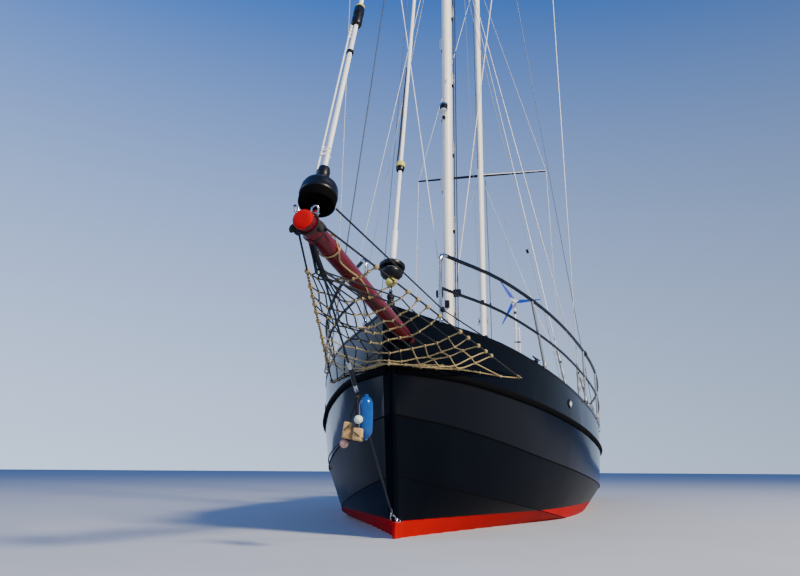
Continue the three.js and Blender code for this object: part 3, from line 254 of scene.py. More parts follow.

# %% [markdown]
# ## The other paints
# Maroon enamel covers the bowsprit, and its end face is a brighter red as painted light where the light
# falls on it. Off-white house paint is satin, and the spars' cream-white two-pack greys in long streaks
# where water runs. The grit in deck paint is under 1 mm; it is drawn at 14 mm, which still shows as a
# sandy surface.

# %% Other paints
sprit_enamel = paint("maroon_gloss_enamel", "sprit_paint", "5c0a16 660a18 46060f", 160, 4, 0.04,
                     (0.25, 0.2, 0.36), IOR=1.3)
# A brighter red for the sprit's end face, as painted light where the light falls on it
sprit_end_painted_light = paint("red_enamel_painted_lit", "sprit_paint", "b80408 c0050a a40406", 30, 3, 0.03, 0.45, IOR=1.2)
matt_black = paint("matt_black_coated_steel", "stainless", "08090b 0c0d10 050607", 90, 5, 0.1,
                   (0.6, 0.5, 0.7), IOR=1.3)
# Black rubber for the strakes, also used for the thin dark bars along the chines, which are painted shade
strake_rubber_and_chine_shade = paint("black_rubber_and_chine_shade", "topsides", "030304 050506 020203", 120, 4, 0.05,
                      (0.8, 0.7, 0.9), IOR=1.15)
red_underwater = paint("matt_underwater_paint", "topsides", "a80409 b80408 940208", 240, 9, 0.3,
                       0.55, IOR=1.22)
house_paint = paint("satin_white_house_paint", "deck_paint", "e9e7e0 eeece6 e0ded6", 400, 8, 0.05,
                    (0.35, 0.28, 0.42), IOR=1.48)
deck_grit = paint("deck_paint_with_sand", "deck_paint", "cfd0cb d4d5d0 c2c3be", 500, 14, 2, 0.8)
spar_paint = paint("cream_two_pack_on_aluminium", "spar_paint", "efebdf f7f3e8 d9d5c8", 60, 20, 0.04,
                   (0.35, 0.26, 0.44), (1, 1, 0.12), IOR=1.4)
foil_coat = paint("white_coated_aluminium_foil", "foil_alloy", "f0efea f8f7f2 dedcd2", 90, 12, 0.03,
                  0.36, (1, 1, 0.3), IOR=1.4)
pole_white = paint("white_enamel_on_tube", "stainless", "e2e0da eae8e2 cfccc4", 120, 9, 0.03, 0.36, IOR=1.4)
print("paints mixed")

# %% [markdown]
# ## Metals, plastics, rope, wood and glass
# Stainless rails look dark from below, because polished tube shows what lies under it, and their colour is
# painted dark grey as a painted reflection. Wire rope is duller than tube. Moulded nylon is black or a
# faded lime, and the darker, duller black in the jib drum's skirt is painted shade. Rope is laid and
# sun-bleached: the lay of a 12 mm rope repeats about every 14 mm. Bare teak greys along its grain.

# %% Metals
polished_steel = paint("polished_stainless_steel", "stainless", "b4b8bc c4c8cc a4a8ac", 60, 3, 0.02,
                       (0.18, 0.14, 0.26), Metallic=1.0)
# Stainless painted dark grey: a painted reflection of the dark that lies under the tubes
steel_painted_dark_reflection = paint("stainless_tube_painted_dark_reflection", "stainless", "30353b 3a4047 23282d", 90, 3, 0.03,
                   (0.3, 0.24, 0.4), Metallic=1.0)
wire_steel = paint("stainless_wire_rope", "stainless", "9a9da1 a4a7ab 85898e", 40, 6, 0.05, 0.5, Metallic=0.5)
dark_wire = paint("tarnished_wire_rope", "rope", "3c444e 48515c 2c333b", 40, 6, 0.3, 0.5, Metallic=0.6)
galvanised = paint("galvanised_steel", "stainless", "8d9092 a2a5a6 777a7c", 14, 5, 0.1, (0.5, 0.4, 0.6),
                   Metallic=0.8)
cast_bronze = paint("dulled_cast_bronze", "stainless", "8a6a3c 9a7848 6e5430", 50, 6, 0.2, (0.4, 0.32, 0.5),
                    Metallic=1.0)
print("metals ready")

# %% Plastics and coatings
black_nylon = paint("moulded_black_nylon", "spar_paint", "0a0b0e 0e1014 060708", 45, 3, 0.04,
                    (0.36, 0.28, 0.46), IOR=1.36)
# A darker, duller black for the jib drum's skirt and mouth, which is painted shade
shaded_nylon = paint("black_nylon_painted_shade", "foil_alloy", "040405 060607 020203", 45, 3, 0.04,
                     (0.85, 0.75, 0.95), IOR=1.12)
lime_nylon = paint("faded_lime_nylon", "foil_alloy", "d2cc5c ded868 a8a044", 35, 4, 0.05, 0.4, IOR=1.4)
blade_gloss = paint("moulded_blue_blade", "blade_shell", "1b3fb0 2348c0 12308a", 120, 8, 0.04, 0.3, IOR=1.45)
fender_blue = paint("inflated_blue_vinyl", "float_shell", "0c55a8 0a58a8 062a66", 70, 6, 0.05, 0.18, IOR=1.5)
ball_white = paint("white_foam_float", "float_shell", "d2dccc e0eadc b4c2ae", 25, 4, 0.3, 0.55)
ball_pink = paint("faded_pink_float", "float_shell", "cf9c8c dcae9c ae7c6c", 25, 4, 0.3, 0.6)
cork = paint("cork_float", "float_shell", "d8ac6c e2ba7c 8c6838", 12, 5, 1, 0.85)
lamp_lens = paint("clear_moulded_lens", "window_glass", "dfe6ea e8eef2 c4ccd2", 12, 5, 0.1, 0.12, IOR=1.45)
print("plastics ready")

# %% Rope, wood and glass
tan_rope = paint("sun_bleached_laid_rope", "rope", "a08c5c bca974 6e5c38", 30, 14, 3, 0.9)
# Dark rope, also used on the bow net, where its dark strands and rows are painted shade
dark_rope = paint("tarred_rope_and_net_shade", "rope", "101113 191a1d 08090a", 30, 12, 2, 0.85)
white_rope = paint("white_braided_rope", "rope", "e4e3de f2f1ec cfcdc6", 20, 8, 1, 0.75)
teak = paint("bare_teak", "teak", "9c7a50 ab8a62 7f613c", 40, 12, 0.6, 0.7, (1, 0.08, 1))
glass = paint("tinted_toughened_glass", "window_glass", "1d2a30 22323a 1a262c", 900, 400, 0.1, 0.03,
              IOR=1.52, Transmission_Weight=0.5)
print("rope, wood and glass ready")

# %% [markdown]
# ## Making pieces
# Most fittings are turned: a disc is drawn up ring by ring. Ropes, wires and rails are round bars
# along a line. Each piece ends with its place in its own mesh.


# %% Helpers that select and settle a piece
def only(piece):
    bpy.ops.object.select_all(action="DESELECT")
    piece.select_set(True)
    bpy.context.view_layer.objects.active = piece


def fix_place(piece):
    only(piece)
    bpy.ops.object.transform_apply(location=True, rotation=True, scale=True)
    return piece


def settle(piece, angle=40):
    """Doubles merged, faces outward, soft shading up to an angle, and the place in the mesh."""
    fix_place(piece)
    bpy.ops.object.mode_set(mode="EDIT")
    bpy.ops.mesh.select_all(action="SELECT")
    bpy.ops.mesh.remove_doubles(threshold=0.00002)
    bpy.ops.mesh.normals_make_consistent(inside=False)
    bpy.ops.object.mode_set(mode="OBJECT")
    bpy.ops.object.shade_smooth_by_angle(angle=math.radians(angle))
    return piece


def put(piece, at=(0, 0, 0), axis=(0, 0, 1), turn=0.0):
    """Moves a piece made about +Z to a point, with +Z along an axis."""
    swing = vec(0, 0, 1).rotation_difference(Vector(axis)).to_matrix().to_4x4()
    piece.matrix_world = Matrix.Translation(at) @ swing @ Matrix.Rotation(turn, 4, "Z")
    return fix_place(piece)


def twin(piece, at=(0, 0, 0), axis=(0, 0, 1), turn=0.0):
    """A copy with its own mesh, put in another place."""
    return put(add_object(piece.name, piece.data.copy()), at, axis, turn)


def discard(*patterns):
    for pattern in patterns:
        bpy.data.objects.remove(pattern)


def joined(pieces):
    bpy.ops.object.select_all(action="DESELECT")
    for piece in pieces:
        piece.select_set(True)
    bpy.context.view_layer.objects.active = pieces[0]
    if len(pieces) > 1:
        bpy.ops.object.join()
    return pieces[0]


def dress(name, pieces, material, body="hull", stands_for=()):
    """Pieces, or one, get their name, their finish and their body, and the parts they stand for are hidden.
    """
    piece = joined(pieces) if isinstance(pieces, list) else pieces
    piece.name = name
    if not piece.data.materials:
        piece.data.materials.append(material)
    if stands_for:
        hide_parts(*stands_for)
    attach(piece, body)


# %% Helpers that make a turned piece, a bar and a block
def turned(rings, sides=24, angle=40):
    """A turned piece about +Z, closed at both ends, through rings of radius and height. They are
    given in millimetres as text, or in metres as a list."""
    if isinstance(rings, str):
        rings = [[float(number) / 1000 for number in ring.split()] for ring in rings.split(",")]
    bpy.ops.object.select_all(action="DESELECT")
    radius, z = rings[0]
    bpy.ops.mesh.primitive_circle_add(vertices=sides, radius=radius, fill_type="NGON", location=(0, 0, z))
    piece = bpy.context.object
    bpy.ops.object.mode_set(mode="EDIT")
    bpy.ops.mesh.select_mode(type="FACE")
    bpy.ops.mesh.select_all(action="SELECT")
    for next_radius, next_z in rings[1:]:
        bpy.ops.mesh.extrude_region_move(TRANSFORM_OT_translate={"value": (0, 0, next_z - z)})
        share = next_radius / radius
        bpy.ops.transform.resize(value=(share, share, 1), center_override=(0, 0, next_z))
        radius, z = next_radius, next_z
    bpy.ops.object.mode_set(mode="OBJECT")
    return settle(piece, angle)


def bar(runs, radius, sides=8, swell=None, closed=False):
    """A curve of round bars along runs of points. swell gives each point its share of the radius."""
    curve = bpy.data.curves.new("bar", "CURVE")
    curve.dimensions = "3D"
    curve.bevel_depth = radius
    curve.bevel_resolution = (sides - 4) // 2
    curve.use_fill_caps = True
    for points in runs:
        spline = curve.splines.new("POLY")
        spline.points.add(len(points) - 1)
        spline.use_cyclic_u = closed
        for i, at in enumerate(points):
            spline.points[i].co = (*at, 1)
            spline.points[i].radius = swell[i] if swell else 1
    return add_object("bar", curve)


def tube(runs, radius, sides=8, swell=None, closed=False):
    """The same bars as a mesh."""
    only(bar(runs, radius, sides, swell, closed))
    bpy.ops.object.convert(target="MESH")
    return settle(bpy.context.object, 50)


def block(low, high, edge=0.004, about=(0, 0, 0)):
    """A box with rounded edges between two corners, which are counted from a point."""
    low, high = Vector(about) + Vector(low), Vector(about) + Vector(high)
    bpy.ops.object.select_all(action="DESELECT")
    bpy.ops.mesh.primitive_cube_add(size=1, location=(low + high) / 2, scale=high - low)
    piece = fix_place(bpy.context.object)
    bpy.ops.object.mode_set(mode="EDIT")
    bpy.ops.mesh.select_all(action="SELECT")
    bpy.ops.mesh.bevel(offset=edge, segments=2)
    bpy.ops.object.mode_set(mode="OBJECT")
    return settle(piece, 50)


# %% Helpers that bend a hoop and a shackle
HOOP_POINTS = 32
# A shackle's parts as shares of its size
BOW_HALF, BOW_BAR, BOW_LEG, BOW_SHOULDER, PIN_HALF = 0.42, 0.13, 0.3, 0.45, 0.63


def hoop(at, facing, half_wide, half_high, thick, corner=1.0, sides=6):
    """A bar bent to a closed ring about a point. corner 1 gives an oval and 0.3 a window's frame."""
    facing = Vector(facing).normalized()
    up = (vec(0, 0, 1) - facing * facing.z).normalized() if abs(facing.z) < 0.9 else vec(0, 1, 0)
    wide = up.cross(facing).normalized()
    points = []
    for i in range(HOOP_POINTS):
        turn = 2 * math.pi * i / HOOP_POINTS
        c, s = math.cos(turn), math.sin(turn)
        u = math.copysign(abs(c) ** corner, c) * half_wide
        v = math.copysign(abs(s) ** corner, s) * half_high
        points.append(Vector(at) + wide * u + up * v)
    return tube([points], thick, sides, closed=True)


def shackle(at, axis, across, size):
    """A bow of round bar with a pin through its ends. at is the pin's middle."""
    at, axis, across = Vector(at), Vector(axis).normalized(), Vector(across).normalized()
    half, leg, thick = across * BOW_HALF * size, axis * BOW_LEG * size, BOW_BAR * size
    bow = [at - half - leg]
    for i in range(9):
        turn = math.pi * i / 8
        rise = BOW_SHOULDER + (1 - BOW_SHOULDER) * math.sin(turn)
        bow.append(at - half * math.cos(turn) + axis * rise * size)
    bow.append(at + half - leg)
    pin = across * PIN_HALF * size
    return joined([tube([bow], thick), tube([[at - pin, at + pin]], thick * 0.9)])


print("helpers ready")

# %% [markdown]
# ## The boat's own lines
# Rails, ropes and plates follow the bulwark's top edge, the rub rail and two chines. Each line is
# written as half-breadths and heights at stations, and read as one smooth curve.

# %% The boat's lines
STATIONS = [-4.85, -4.3, -3.5, -2.5, -1.2, 0.3, 1.8, 3.4]
LINE_STEPS = 60


def boat_line(foremost, aftmost, halves, heights):
    return [Vector(p) for p in zip(halves, [foremost, *STATIONS, aftmost], heights)]


TOP = boat_line(-5.37, 5.33, [0.034, 0.393, 0.763, 1.148, 1.439, 1.667, 1.761, 1.7, 1.5, 1.2],
                [1.733, 1.669, 1.6, 1.456, 1.315, 1.172, 1.054, 0.99, 0.985, 1.04])
RUB = boat_line(-5.32, 5.29, [0.034, 0.453, 0.773, 1.128, 1.462, 1.673, 1.762, 1.735, 1.56, 1.26],
                [1.262, 1.238, 1.178, 1.087, 0.956, 0.837, 0.763, 0.717, 0.721, 0.78])
CHINE = boat_line(-5.28, 5.25, [0.034, 0.358, 0.688, 1.069, 1.412, 1.65, 1.705, 1.63, 1.42, 1.1],
                  [0.915, 0.853, 0.759, 0.615, 0.482, 0.353, 0.259, 0.24, 0.3, 0.42])
LOW_CHINE = boat_line(-5.21, 5.21, [0.026, 0.29, 0.601, 0.94, 1.212, 1.355, 1.364, 1.26, 1.02, 0.72],
                      [0.457, 0.381, 0.277, 0.153, 0.019, -0.109, -0.191, -0.2, -0.11, 0.1])


def on_line(points, share):
    span = (len(points) - 1) * share
    i = min(int(span), len(points) - 2)
    w = span - i
    start, end = points[i], points[i + 1]
    before = points[i - 1] if i else 2 * start - end
    after = points[i + 2] if i + 2 < len(points) else 2 * end - start
    lead, trail = (end - before) / 2, (after - start) / 2
    bend = 3 * (end - start) - 2 * lead - trail
    return start + lead * w + bend * w ** 2 + (2 * (start - end) + lead + trail) * w ** 3


def share_where(reading, value, high=1.0, steps=30):
    """The share at which a reading that grows reaches a value."""
    low = 0.0
    for _ in range(steps):
        middle = (low + high) / 2
        low, high = (middle, high) if reading(middle) < value else (low, middle)
    return low


def line_at(points, value, axis=1):
    """The point of a line where a coordinate that grows along it reaches a value."""
    return on_line(points, share_where(lambda share: on_line(points, share)[axis], value))


def eased(points, steps=6):
    """A smooth line through a few points."""
    count = steps * (len(points) - 1)
    return [on_line([Vector(p) for p in points], i / count) for i in range(count + 1)]


def cap_at(y, side=1, rise=0.0):
    """A point on the bulwark's top edge."""
    x, y, z = line_at(TOP, y)
    return vec(side * x, y, z + rise)


def at_mast(mast, z, x=0.0, y=0.0):
    """A point beside the middle of a raked mast."""
    datum, rake = {"main": (-2.472, 0.031), "mizzen": (1.392, 0.026)}[mast]
    return vec(x, datum + rake * (z - 1.3) + y, z)


print("bulwark top at the main mast:", [round(v, 3) for v in cap_at(-2.47)])

# %% [markdown]
# ## Finishes on the parts that keep their shape
# Where a part of the frame already has the right shape, it only needs its material.

# %% Finishes on the frame's own parts
OWN_FINISHES = (
    (red_underwater, "keel rudder"), (cast_bronze, "propeller"), (steel_painted_dark_reflection, "bobstay"),
    (house_paint, "companion_hatch fore_hatch_lid main_hatch_lid cockpit_coaming steering_pedestal"),
    (teak, "companion_door companion_steps locker_lid_port locker_lid_starboard"),
    (glass, "doghouse_glass_port doghouse_glass_starboard doghouse_glass_front"),
    (spar_paint, "main_boom mizzen_boom"), (polished_steel, "steering_wheel"),
    (pole_white, "wind_pole wind_head"), (dark_wire, "main_backstay_port main_backstay_starboard"))
FINISHES = {name: material for material, names in OWN_FINISHES for name in names.split()}
for name, node in nodes.items():
    node.data.materials.clear()
    node.data.materials.append(FINISHES.get(name, wire_steel))
print("finished parts:", len(nodes))

# %% [markdown]
# ## Hull plates
# The plates run smooth from stem to stern and meet at hard chines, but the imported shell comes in
# lengths with flat faces, which would break a mirror gloss. So the lengths are copied, their cut ends
# taken off, and the whole is merged and shaded smooth along its length.

# %% One smooth copy of several lengths
AT_CUT, SEAM_GAP, TINY_GAP = 0.0006, 0.00045, 0.00002
# An edge that rises little, runs fore and aft and turns by more than this is a chine, and stays sharp
CHINE_RISE, CHINE_RUN, CHINE_TURN = 0.35, 0.4, math.radians(4)


def smooth_copy(sources, coats, choose=lambda face: 0, cuts=(), angle=32, chines=False):
    """choose(face) gives the number of the coat on a face. cuts are the y of the cut ends."""
    copies = []
    for source in sources:
        copies.append(add_object(source, nodes[source].data.copy()))
        only(copies[-1])
        bpy.ops.mesh.customdata_custom_splitnormals_clear()
    piece = joined(copies)
    mesh = piece.data
    shell = bmesh.new()
    shell.from_mesh(mesh)
    ends = [f for f in shell.faces if any(all(abs(v.co.y - cut) < AT_CUT for v in f.verts) for cut in cuts)]
    bmesh.ops.delete(shell, geom=ends, context="FACES")
    bmesh.ops.remove_doubles(shell, verts=shell.verts, dist=SEAM_GAP if cuts else TINY_GAP)
    # Where a space below deck ends at a cut, the cut end was its wall, so the open rim is filled again
    bmesh.ops.holes_fill(shell, edges=[e for e in shell.edges if e.is_boundary], sides=0)
    print(sources, "have open edges:", sum(e.is_boundary for e in shell.edges))
    shell.to_mesh(mesh)
    shell.free()
    mesh.materials.clear()
    for coat in coats:
        mesh.materials.append(coat)
    normals = {}
    for face in mesh.polygons:
        face.use_smooth = True
        face.material_index = choose(face)
        for key in face.edge_keys:
            normals.setdefault(key, []).append(face.normal.copy())
    for edge in mesh.edges:
        start, end = (mesh.vertices[i].co for i in edge.vertices)
        way = (end - start).normalized()
        turn = normals[edge.key][0].angle(normals[edge.key][-1], 0) if edge.key in normals else 0
        lengthwise = chines and abs(way.z) < CHINE_RISE and abs(way.y) > CHINE_RUN and turn > CHINE_TURN
        edge.use_edge_sharp = turn > math.radians(angle) or lengthwise
    return piece


print("seams closer than", SEAM_GAP, "m are merged")

# %% Hull and bulwark plates
RUB_OUT, RUB_HIGH, DECK_EDGE, DECK_LOW, DECK_HIGH, FLAT_UP = 0.004, 0.03, 0.06, 0.4, 1.4, 0.75
COCKPIT = {"from": 1.0, "to": 4.5, "inset": 0.35, "over": 0.3, "under": 1.4}
CABIN = {"from": -2.92, "to": 0.92, "sole": -0.16, "half": 0.51, "widens": 0.097}
HULLS = ["hull_bow", "hull_cabin", "hull_cockpit", "hull_stern"]
ENAMELLED, DECKED, RUBBER, WHITE_WALL, DULLED = range(5)


def hull_coat(face):
    """Which coat a face of the hull has: also the black rub rail, the deck and the rooms' white walls."""
    x, y, z = face.center
    rub, top, chine = (line_at(line, y) for line in (RUB, TOP, CHINE))
    if abs(z - rub.z) < RUB_HIGH and abs(x) > rub.x - RUB_OUT:
        return RUBBER
    if face.normal.z > FLAT_UP and DECK_LOW < z < DECK_HIGH and abs(x) < top.x - DECK_EDGE:
        return DECKED
    in_well = (COCKPIT["from"] < y < COCKPIT["to"] and abs(x) < top.x - COCKPIT["inset"]
               and COCKPIT["over"] < z < COCKPIT["under"])
    inside = CABIN["half"] + CABIN["widens"] * (y - CABIN["from"])
    in_cabin = CABIN["from"] < y < CABIN["to"] and abs(x) < inside and z > CABIN["sole"]
    if in_well or in_cabin:
        return WHITE_WALL
    return DULLED if z < chine.z else ENAMELLED


def plates(name, lengths, coats=(hull_enamel,), **how):
    dress(name, smooth_copy(lengths, coats, chines=True, **how), hull_enamel, stands_for=lengths)


plates("hull_plates", HULLS, (hull_enamel, deck_grit, strake_rubber_and_chine_shade, house_paint, low_enamel),
       choose=hull_coat, cuts=(-2.9, -2.9003, 0.9, 0.8997, 3.95, 3.9497))
for _, word in SIDES:
    plates("bulwark_plates_" + word, [f"bulwark_{part}_{word}" for part in ("bow", "side", "quarter")],
           cuts=(-2.4, -2.4003, 1.75, 1.7497))
plates("bulwark_plates_stern", ["bulwark_stern"])
print("plated")

# %% [markdown]
# A black rubbing strake of half-round section runs along the ledge from stem to stern on each side.
# The plates meet at two chines, and a thin dark bar along each chine is painted shade where the plates turn.


# %% Rubbing strakes and painted chine shade
def along_side(line, side, drop=0.0):
    points = [on_line(line, i / LINE_STEPS) for i in range(LINE_STEPS + 1)]
    return [vec(side * p.x, p.y, p.z - drop) for p in points]


for side, word in SIDES:
    dress("rubbing_strake_" + word, tube([along_side(RUB, side, 0.008)], 0.032, 12), strake_rubber_and_chine_shade)
    # A thin dark bar along each chine is painted shade
    chine_shade_bars = [tube([along_side(line, side)], bead, 6) for line, bead in ((CHINE, 0.006), (LOW_CHINE, 0.004))]
    dress("chine_painted_shade_" + word, chine_shade_bars, strake_rubber_and_chine_shade)
print("strakes:", len(SIDES))

# %% [markdown]
# ## Deckhouse, spars and bowsprit
# The same copy serves where one part carries two finishes: the deckhouse's roof has deck paint, the
# masts have black winches, the mizzen's spreaders are matt black below and on the starboard side as
# painted shade, and the sprit's end face is a brighter red as painted light.

# %% Deckhouse, masts and bowsprit
WINCH_AT, SPREADER_AT, SPREADER_TIP = (2.5, 2.62), (5.68, 5.84), 1.12
MAST_HALF, MIZZEN_HALF, ROOF_HALF, END_FACE = 0.07, 0.06, 0.93, 0.004
ROOF_LEVEL, LOOKS_UP = 0.8, 0.2
SPRIT_TIP, SPRIT_ROOT = vec(-0.027, -7.268, 1.807), vec(0.1, -5.16, 1.504)
sprit_way = (SPRIT_ROOT - SPRIT_TIP).normalized()


def house_coat(face):
    return int(face.normal.z > ROOF_LEVEL and abs(face.center.x) < ROOF_HALF)


def main_mast_coat(face):
    return int(WINCH_AT[0] < face.center.z < WINCH_AT[1] and abs(face.center.x) > MAST_HALF)


# The spreaders' undersides, the starboard spreader and the tips are matt black as painted shade
def mizzen_coat_with_painted_shade(face):
    x, _, z = face.center
    on_spreader = SPREADER_AT[0] < z < SPREADER_AT[1] and abs(x) >= MIZZEN_HALF
    return int(on_spreader and (face.normal.z < LOOKS_UP or x < 0 or x > SPREADER_TIP))


# The end face gets the brighter red, as painted light
def sprit_coat(face):
    return int((face.center - SPRIT_TIP).dot(sprit_way) < END_FACE)


for name, sources, coats, choose, angle in (
        ("deckhouse_shell", ["coachroof", "doghouse"], (house_paint, deck_grit), house_coat, 32),
        ("main_mast_painted", ["main_mast"], (spar_paint, matt_black), main_mast_coat, 35),
        ("mizzen_mast_painted", ["mizzen_mast"], (spar_paint, matt_black), mizzen_coat_with_painted_shade, 35),
        ("bowsprit_painted", ["bowsprit"], (sprit_enamel, sprit_end_painted_light), sprit_coat, 40)):
    dress(name, smooth_copy(sources, coats, choose, angle=angle), coats[0], stands_for=sources)
print("deckhouse, masts and bowsprit are painted")

# %% [markdown]
# ## Guard rails
# Two stainless tubes run along each bulwark on short stanchions, painted dark grey as a painted
# reflection. At the bow the top tube bends down into the first stanchion, which is bright polished
# steel. A tube is drawn through points along the bulwark's edge, and each stanchion stands in a turned foot.

# %% Guard rails
RAIL_HEIGHT, RAIL_MIDDLE, RAIL_OUT, RAIL_BEND = 0.6, 0.3, 0.015, 0.08
RAIL_TUBE, RAIL_THIN, FOOT_RISE = 0.017, 0.0135, 0.012
FIRST_POST, LAST_POST = -4.97, 5.15
# The y of each foot between them, and how far its post leans forward
RAIL_POSTS = ((-3.6, 0.21), (-2.12, 0), (-1.0, 0), (0.35, 0), (1.7, 0), (3.0, 0), (4.15, 0))


def rail_at(y, rise, side):
    return cap_at(y, side, rise) + vec(side * RAIL_OUT, 0, 0)


stops = [FIRST_POST + (LAST_POST - FIRST_POST) * i / LINE_STEPS for i in range(LINE_STEPS + 1)]
foot = turned("24 0, 24 12, 18 30, 15.5 50", 12)
for side, word in SIDES:
    line = [rail_at(y, RAIL_HEIGHT, side) for y in stops]
    corner = line[0]
    after = corner + (line[1] - corner).normalized() * RAIL_BEND
    bend = [rail_at(FIRST_POST, 0, side), corner - vec(0, 0, RAIL_BEND)]
    for i in range(1, 8):
        bend.append(bend[1].lerp(corner, i / 8).lerp(corner.lerp(after, i / 8), i / 8))
    past_bend = [p for p in line[1:] if (p - corner).length > 1.2 * RAIL_BEND]
    rails = [tube([[after, *past_bend, rail_at(LAST_POST, 0, side)]], RAIL_TUBE, 12),
             tube([[rail_at(y, RAIL_MIDDLE, side) for y in stops]], RAIL_THIN, 10)]
    dress("guard_rail_tubes_" + word, rails, steel_painted_dark_reflection,
          stands_for=[f"guard_rail_{part}_{word}" for part in ("bow", "side", "quarter")])
    posts = [[rail_at(y, 0, side), rail_at(y - lean, RAIL_HEIGHT, side)] for y, lean in RAIL_POSTS]
    stanchions = [tube(posts, RAIL_THIN, 10)]
    stanchions += [twin(foot, rail_at(y, FOOT_RISE, side)) for y, _ in RAIL_POSTS]
    dress("stanchions_" + word, stanchions, galvanised)
    clamp = turned("18 -50, 25 -46, 26 0, 25 46, 18 50", 16)
    at = rail_at(-2.0, RAIL_HEIGHT, side)
    dress("rail_clamp_" + word, put(clamp, at, rail_at(-1.9, RAIL_HEIGHT, side) - at), matt_black)
    front = [tube([bend + [after]], RAIL_TUBE, 12), twin(foot, rail_at(FIRST_POST, FOOT_RISE, side))]
    dress("front_stanchion_" + word, front, polished_steel)
discard(foot)
print("rail posts a side:", len(RAIL_POSTS) + 2)

# %% [markdown]
# ## Furlers
# Each headsail rolls round a white foil. Below it sits a drum with the furling line: on the jib a
# black dome open at the bottom, on the staysail a pair of flanges with the line between them.
# A swivel rides higher up. All of it is turned about the stay.

# %% Furlers
JIB_FOOT, JIB_HEAD, JIB_START = vec(-0.012, -7.15, 1.866), vec(0, -2.081, 13.93), 0.045
STAY_FOOT, STAY_HEAD, STAY_START = vec(0, -5.392, 1.905), vec(0, -2.092, 13.64), 0.01
jib_way, stay_way = (JIB_HEAD - JIB_FOOT).normalized(), (STAY_HEAD - STAY_FOOT).normalized()
# The foils end this far short of the stays' heads, and their lengths are in millimetres as in a profile
JIB_SHORT, STAY_SHORT = 0.35, 0.51
JIB_LENGTH = 1000 * ((JIB_HEAD - JIB_FOOT).length - JIB_START - JIB_SHORT)
STAY_LENGTH = 1000 * ((STAY_HEAD - STAY_FOOT).length - STAY_START - STAY_SHORT)
ON_JIB = (
    ("jib_furling_drum", black_nylon, ["jib_furler"], (
        ("100 96, 109 94, 112 100, 112 112, 109 116, 108.5 142, 105 164, 97 182, 83 196, 64 206, 48 211,"
         "44 216, 42 232, 37 256, 38.5 262, 38.5 300, 34 325, 24 332", 48),
        ("20 1765, 34 1775, 38 1790, 38 1860, 30 1868, 30 1892, 38 1900, 38 1970, 30 1980", 20),
        ("17 1440, 24 1444, 24 1466, 17 1470", 16))),
    # The skirt and the spool inside the mouth are in the darker black as painted shade
    ("jib_drum_skirt", shaded_nylon, (), (
        ("86 150, 97 140, 96 52, 98 38, 103 34, 107 42, 108 60, 108.5 97, 100 100", 48),
        ("82 146, 82 140, 50 136, 55 128, 50 120, 55 112, 50 104, 55 96, 50 88, 55 80, 50 72, 78 66, 78 58,"
         "30 52, 26 0", 32))),
    ("jib_foil", foil_coat, (), (
        (f"13 333, 15.5 340, 15.5 2000, 15.5 6000, 15.5 {JIB_LENGTH - 10}, 13 {JIB_LENGTH}", 16),)),
    ("jib_swivel_ring", lime_nylon, (), (("28 1980, 34 1984, 34 1998, 20 2004", 20),)))
ON_STAY = (
    ("staysail_furling_drum", black_nylon, ["staysail_furler"], (
        ("28 52, 50 60, 74 74, 89 94, 93 112, 89 122, 62 128, 56 132, 56 142, 62 146, 100 151, 106 160,"
         "105 180, 90 196, 50 210, 28 222", 40),
        ("20 1140, 32 1147, 37 1165, 36 1182", 20))),
    ("staysail_furler_hub", lime_nylon, (), (
        ("26 -2, 36 2, 43 14, 44 34, 36 48, 26 54", 24),
        ("20 1182, 40 1186, 41 1215, 36 1236, 19 1246", 20))),
    ("staysail_foil", foil_coat, (), (
        (f"20 210, 25.5 220, 25.5 500, 17 530, 16.5 3000, 16.5 {STAY_LENGTH - 10}, 14 {STAY_LENGTH}", 16),)),
    ("staysail_wound_line", white_rope, (), (
        ("56 131, 66 133, 64 135, 66 137, 64 139, 66 141, 56 143", 32),)))
for furler, start, way, pieces in (("jib_furler", JIB_FOOT + jib_way * JIB_START, jib_way, ON_JIB),
                                   ("staysail_furler", STAY_FOOT + stay_way * STAY_START, stay_way, ON_STAY)):
    for name, material, stands_for, profiles in pieces:
        piece = put(joined([turned(rings, sides) for rings, sides in profiles]), start, way)
        dress(name, piece, material, furler, stands_for)
print("foil lengths in mm:", round(JIB_LENGTH), round(STAY_LENGTH))

# %% [markdown]
# A halyard is made fast along each furler: white beside the jib's foil down to the drum, and dark
# beside the staysail's. Ropes that are knotted or tied thicken there.


# %% Halyards along the furlers
def beside_jib(along, x, y):
    return JIB_FOOT + jib_way * (JIB_START + along) + vec(x, y, 0)


run = [beside_jib(0.25, -0.045, 0), beside_jib(0.44, -0.038, -0.01), beside_jib(1.64, -0.032, -0.01),
       beside_jib(1.78, -0.03, 0)]
TIE_AT, TIE_PITCH, TIE_RADIUS = 0.42, 0.012, 0.028
tie = [beside_jib(TIE_AT + TIE_PITCH * i, TIE_RADIUS * math.cos(2 * i) - 0.008, TIE_RADIUS * math.sin(2 * i))
       for i in range(9)]
halyard = [tube([run], 0.006), tube([tie], 0.005, 6)]
for along in (1.64, 1.68, 1.72, 1.76):
    knot = turned("6 -14, 12 -8, 13 4, 7 14", 8, 60)
    halyard.append(put(knot, beside_jib(along, -0.031, -0.004), jib_way))
dress("jib_halyard", halyard, white_rope, "jib_furler")
run = [STAY_FOOT + stay_way * along + vec(x, -0.01, 0)
       for along, x in ((1.22, -0.03), (1.4, -0.024), (1.95, -0.02), (2.4, -0.012))]
dress("staysail_halyard", tube([run], 0.008), dark_rope, "staysail_furler")
print("halyards made fast")

# %% [markdown]
# Below the staysail's furler a short chain of links and a shackle reach down to the stem head's post.

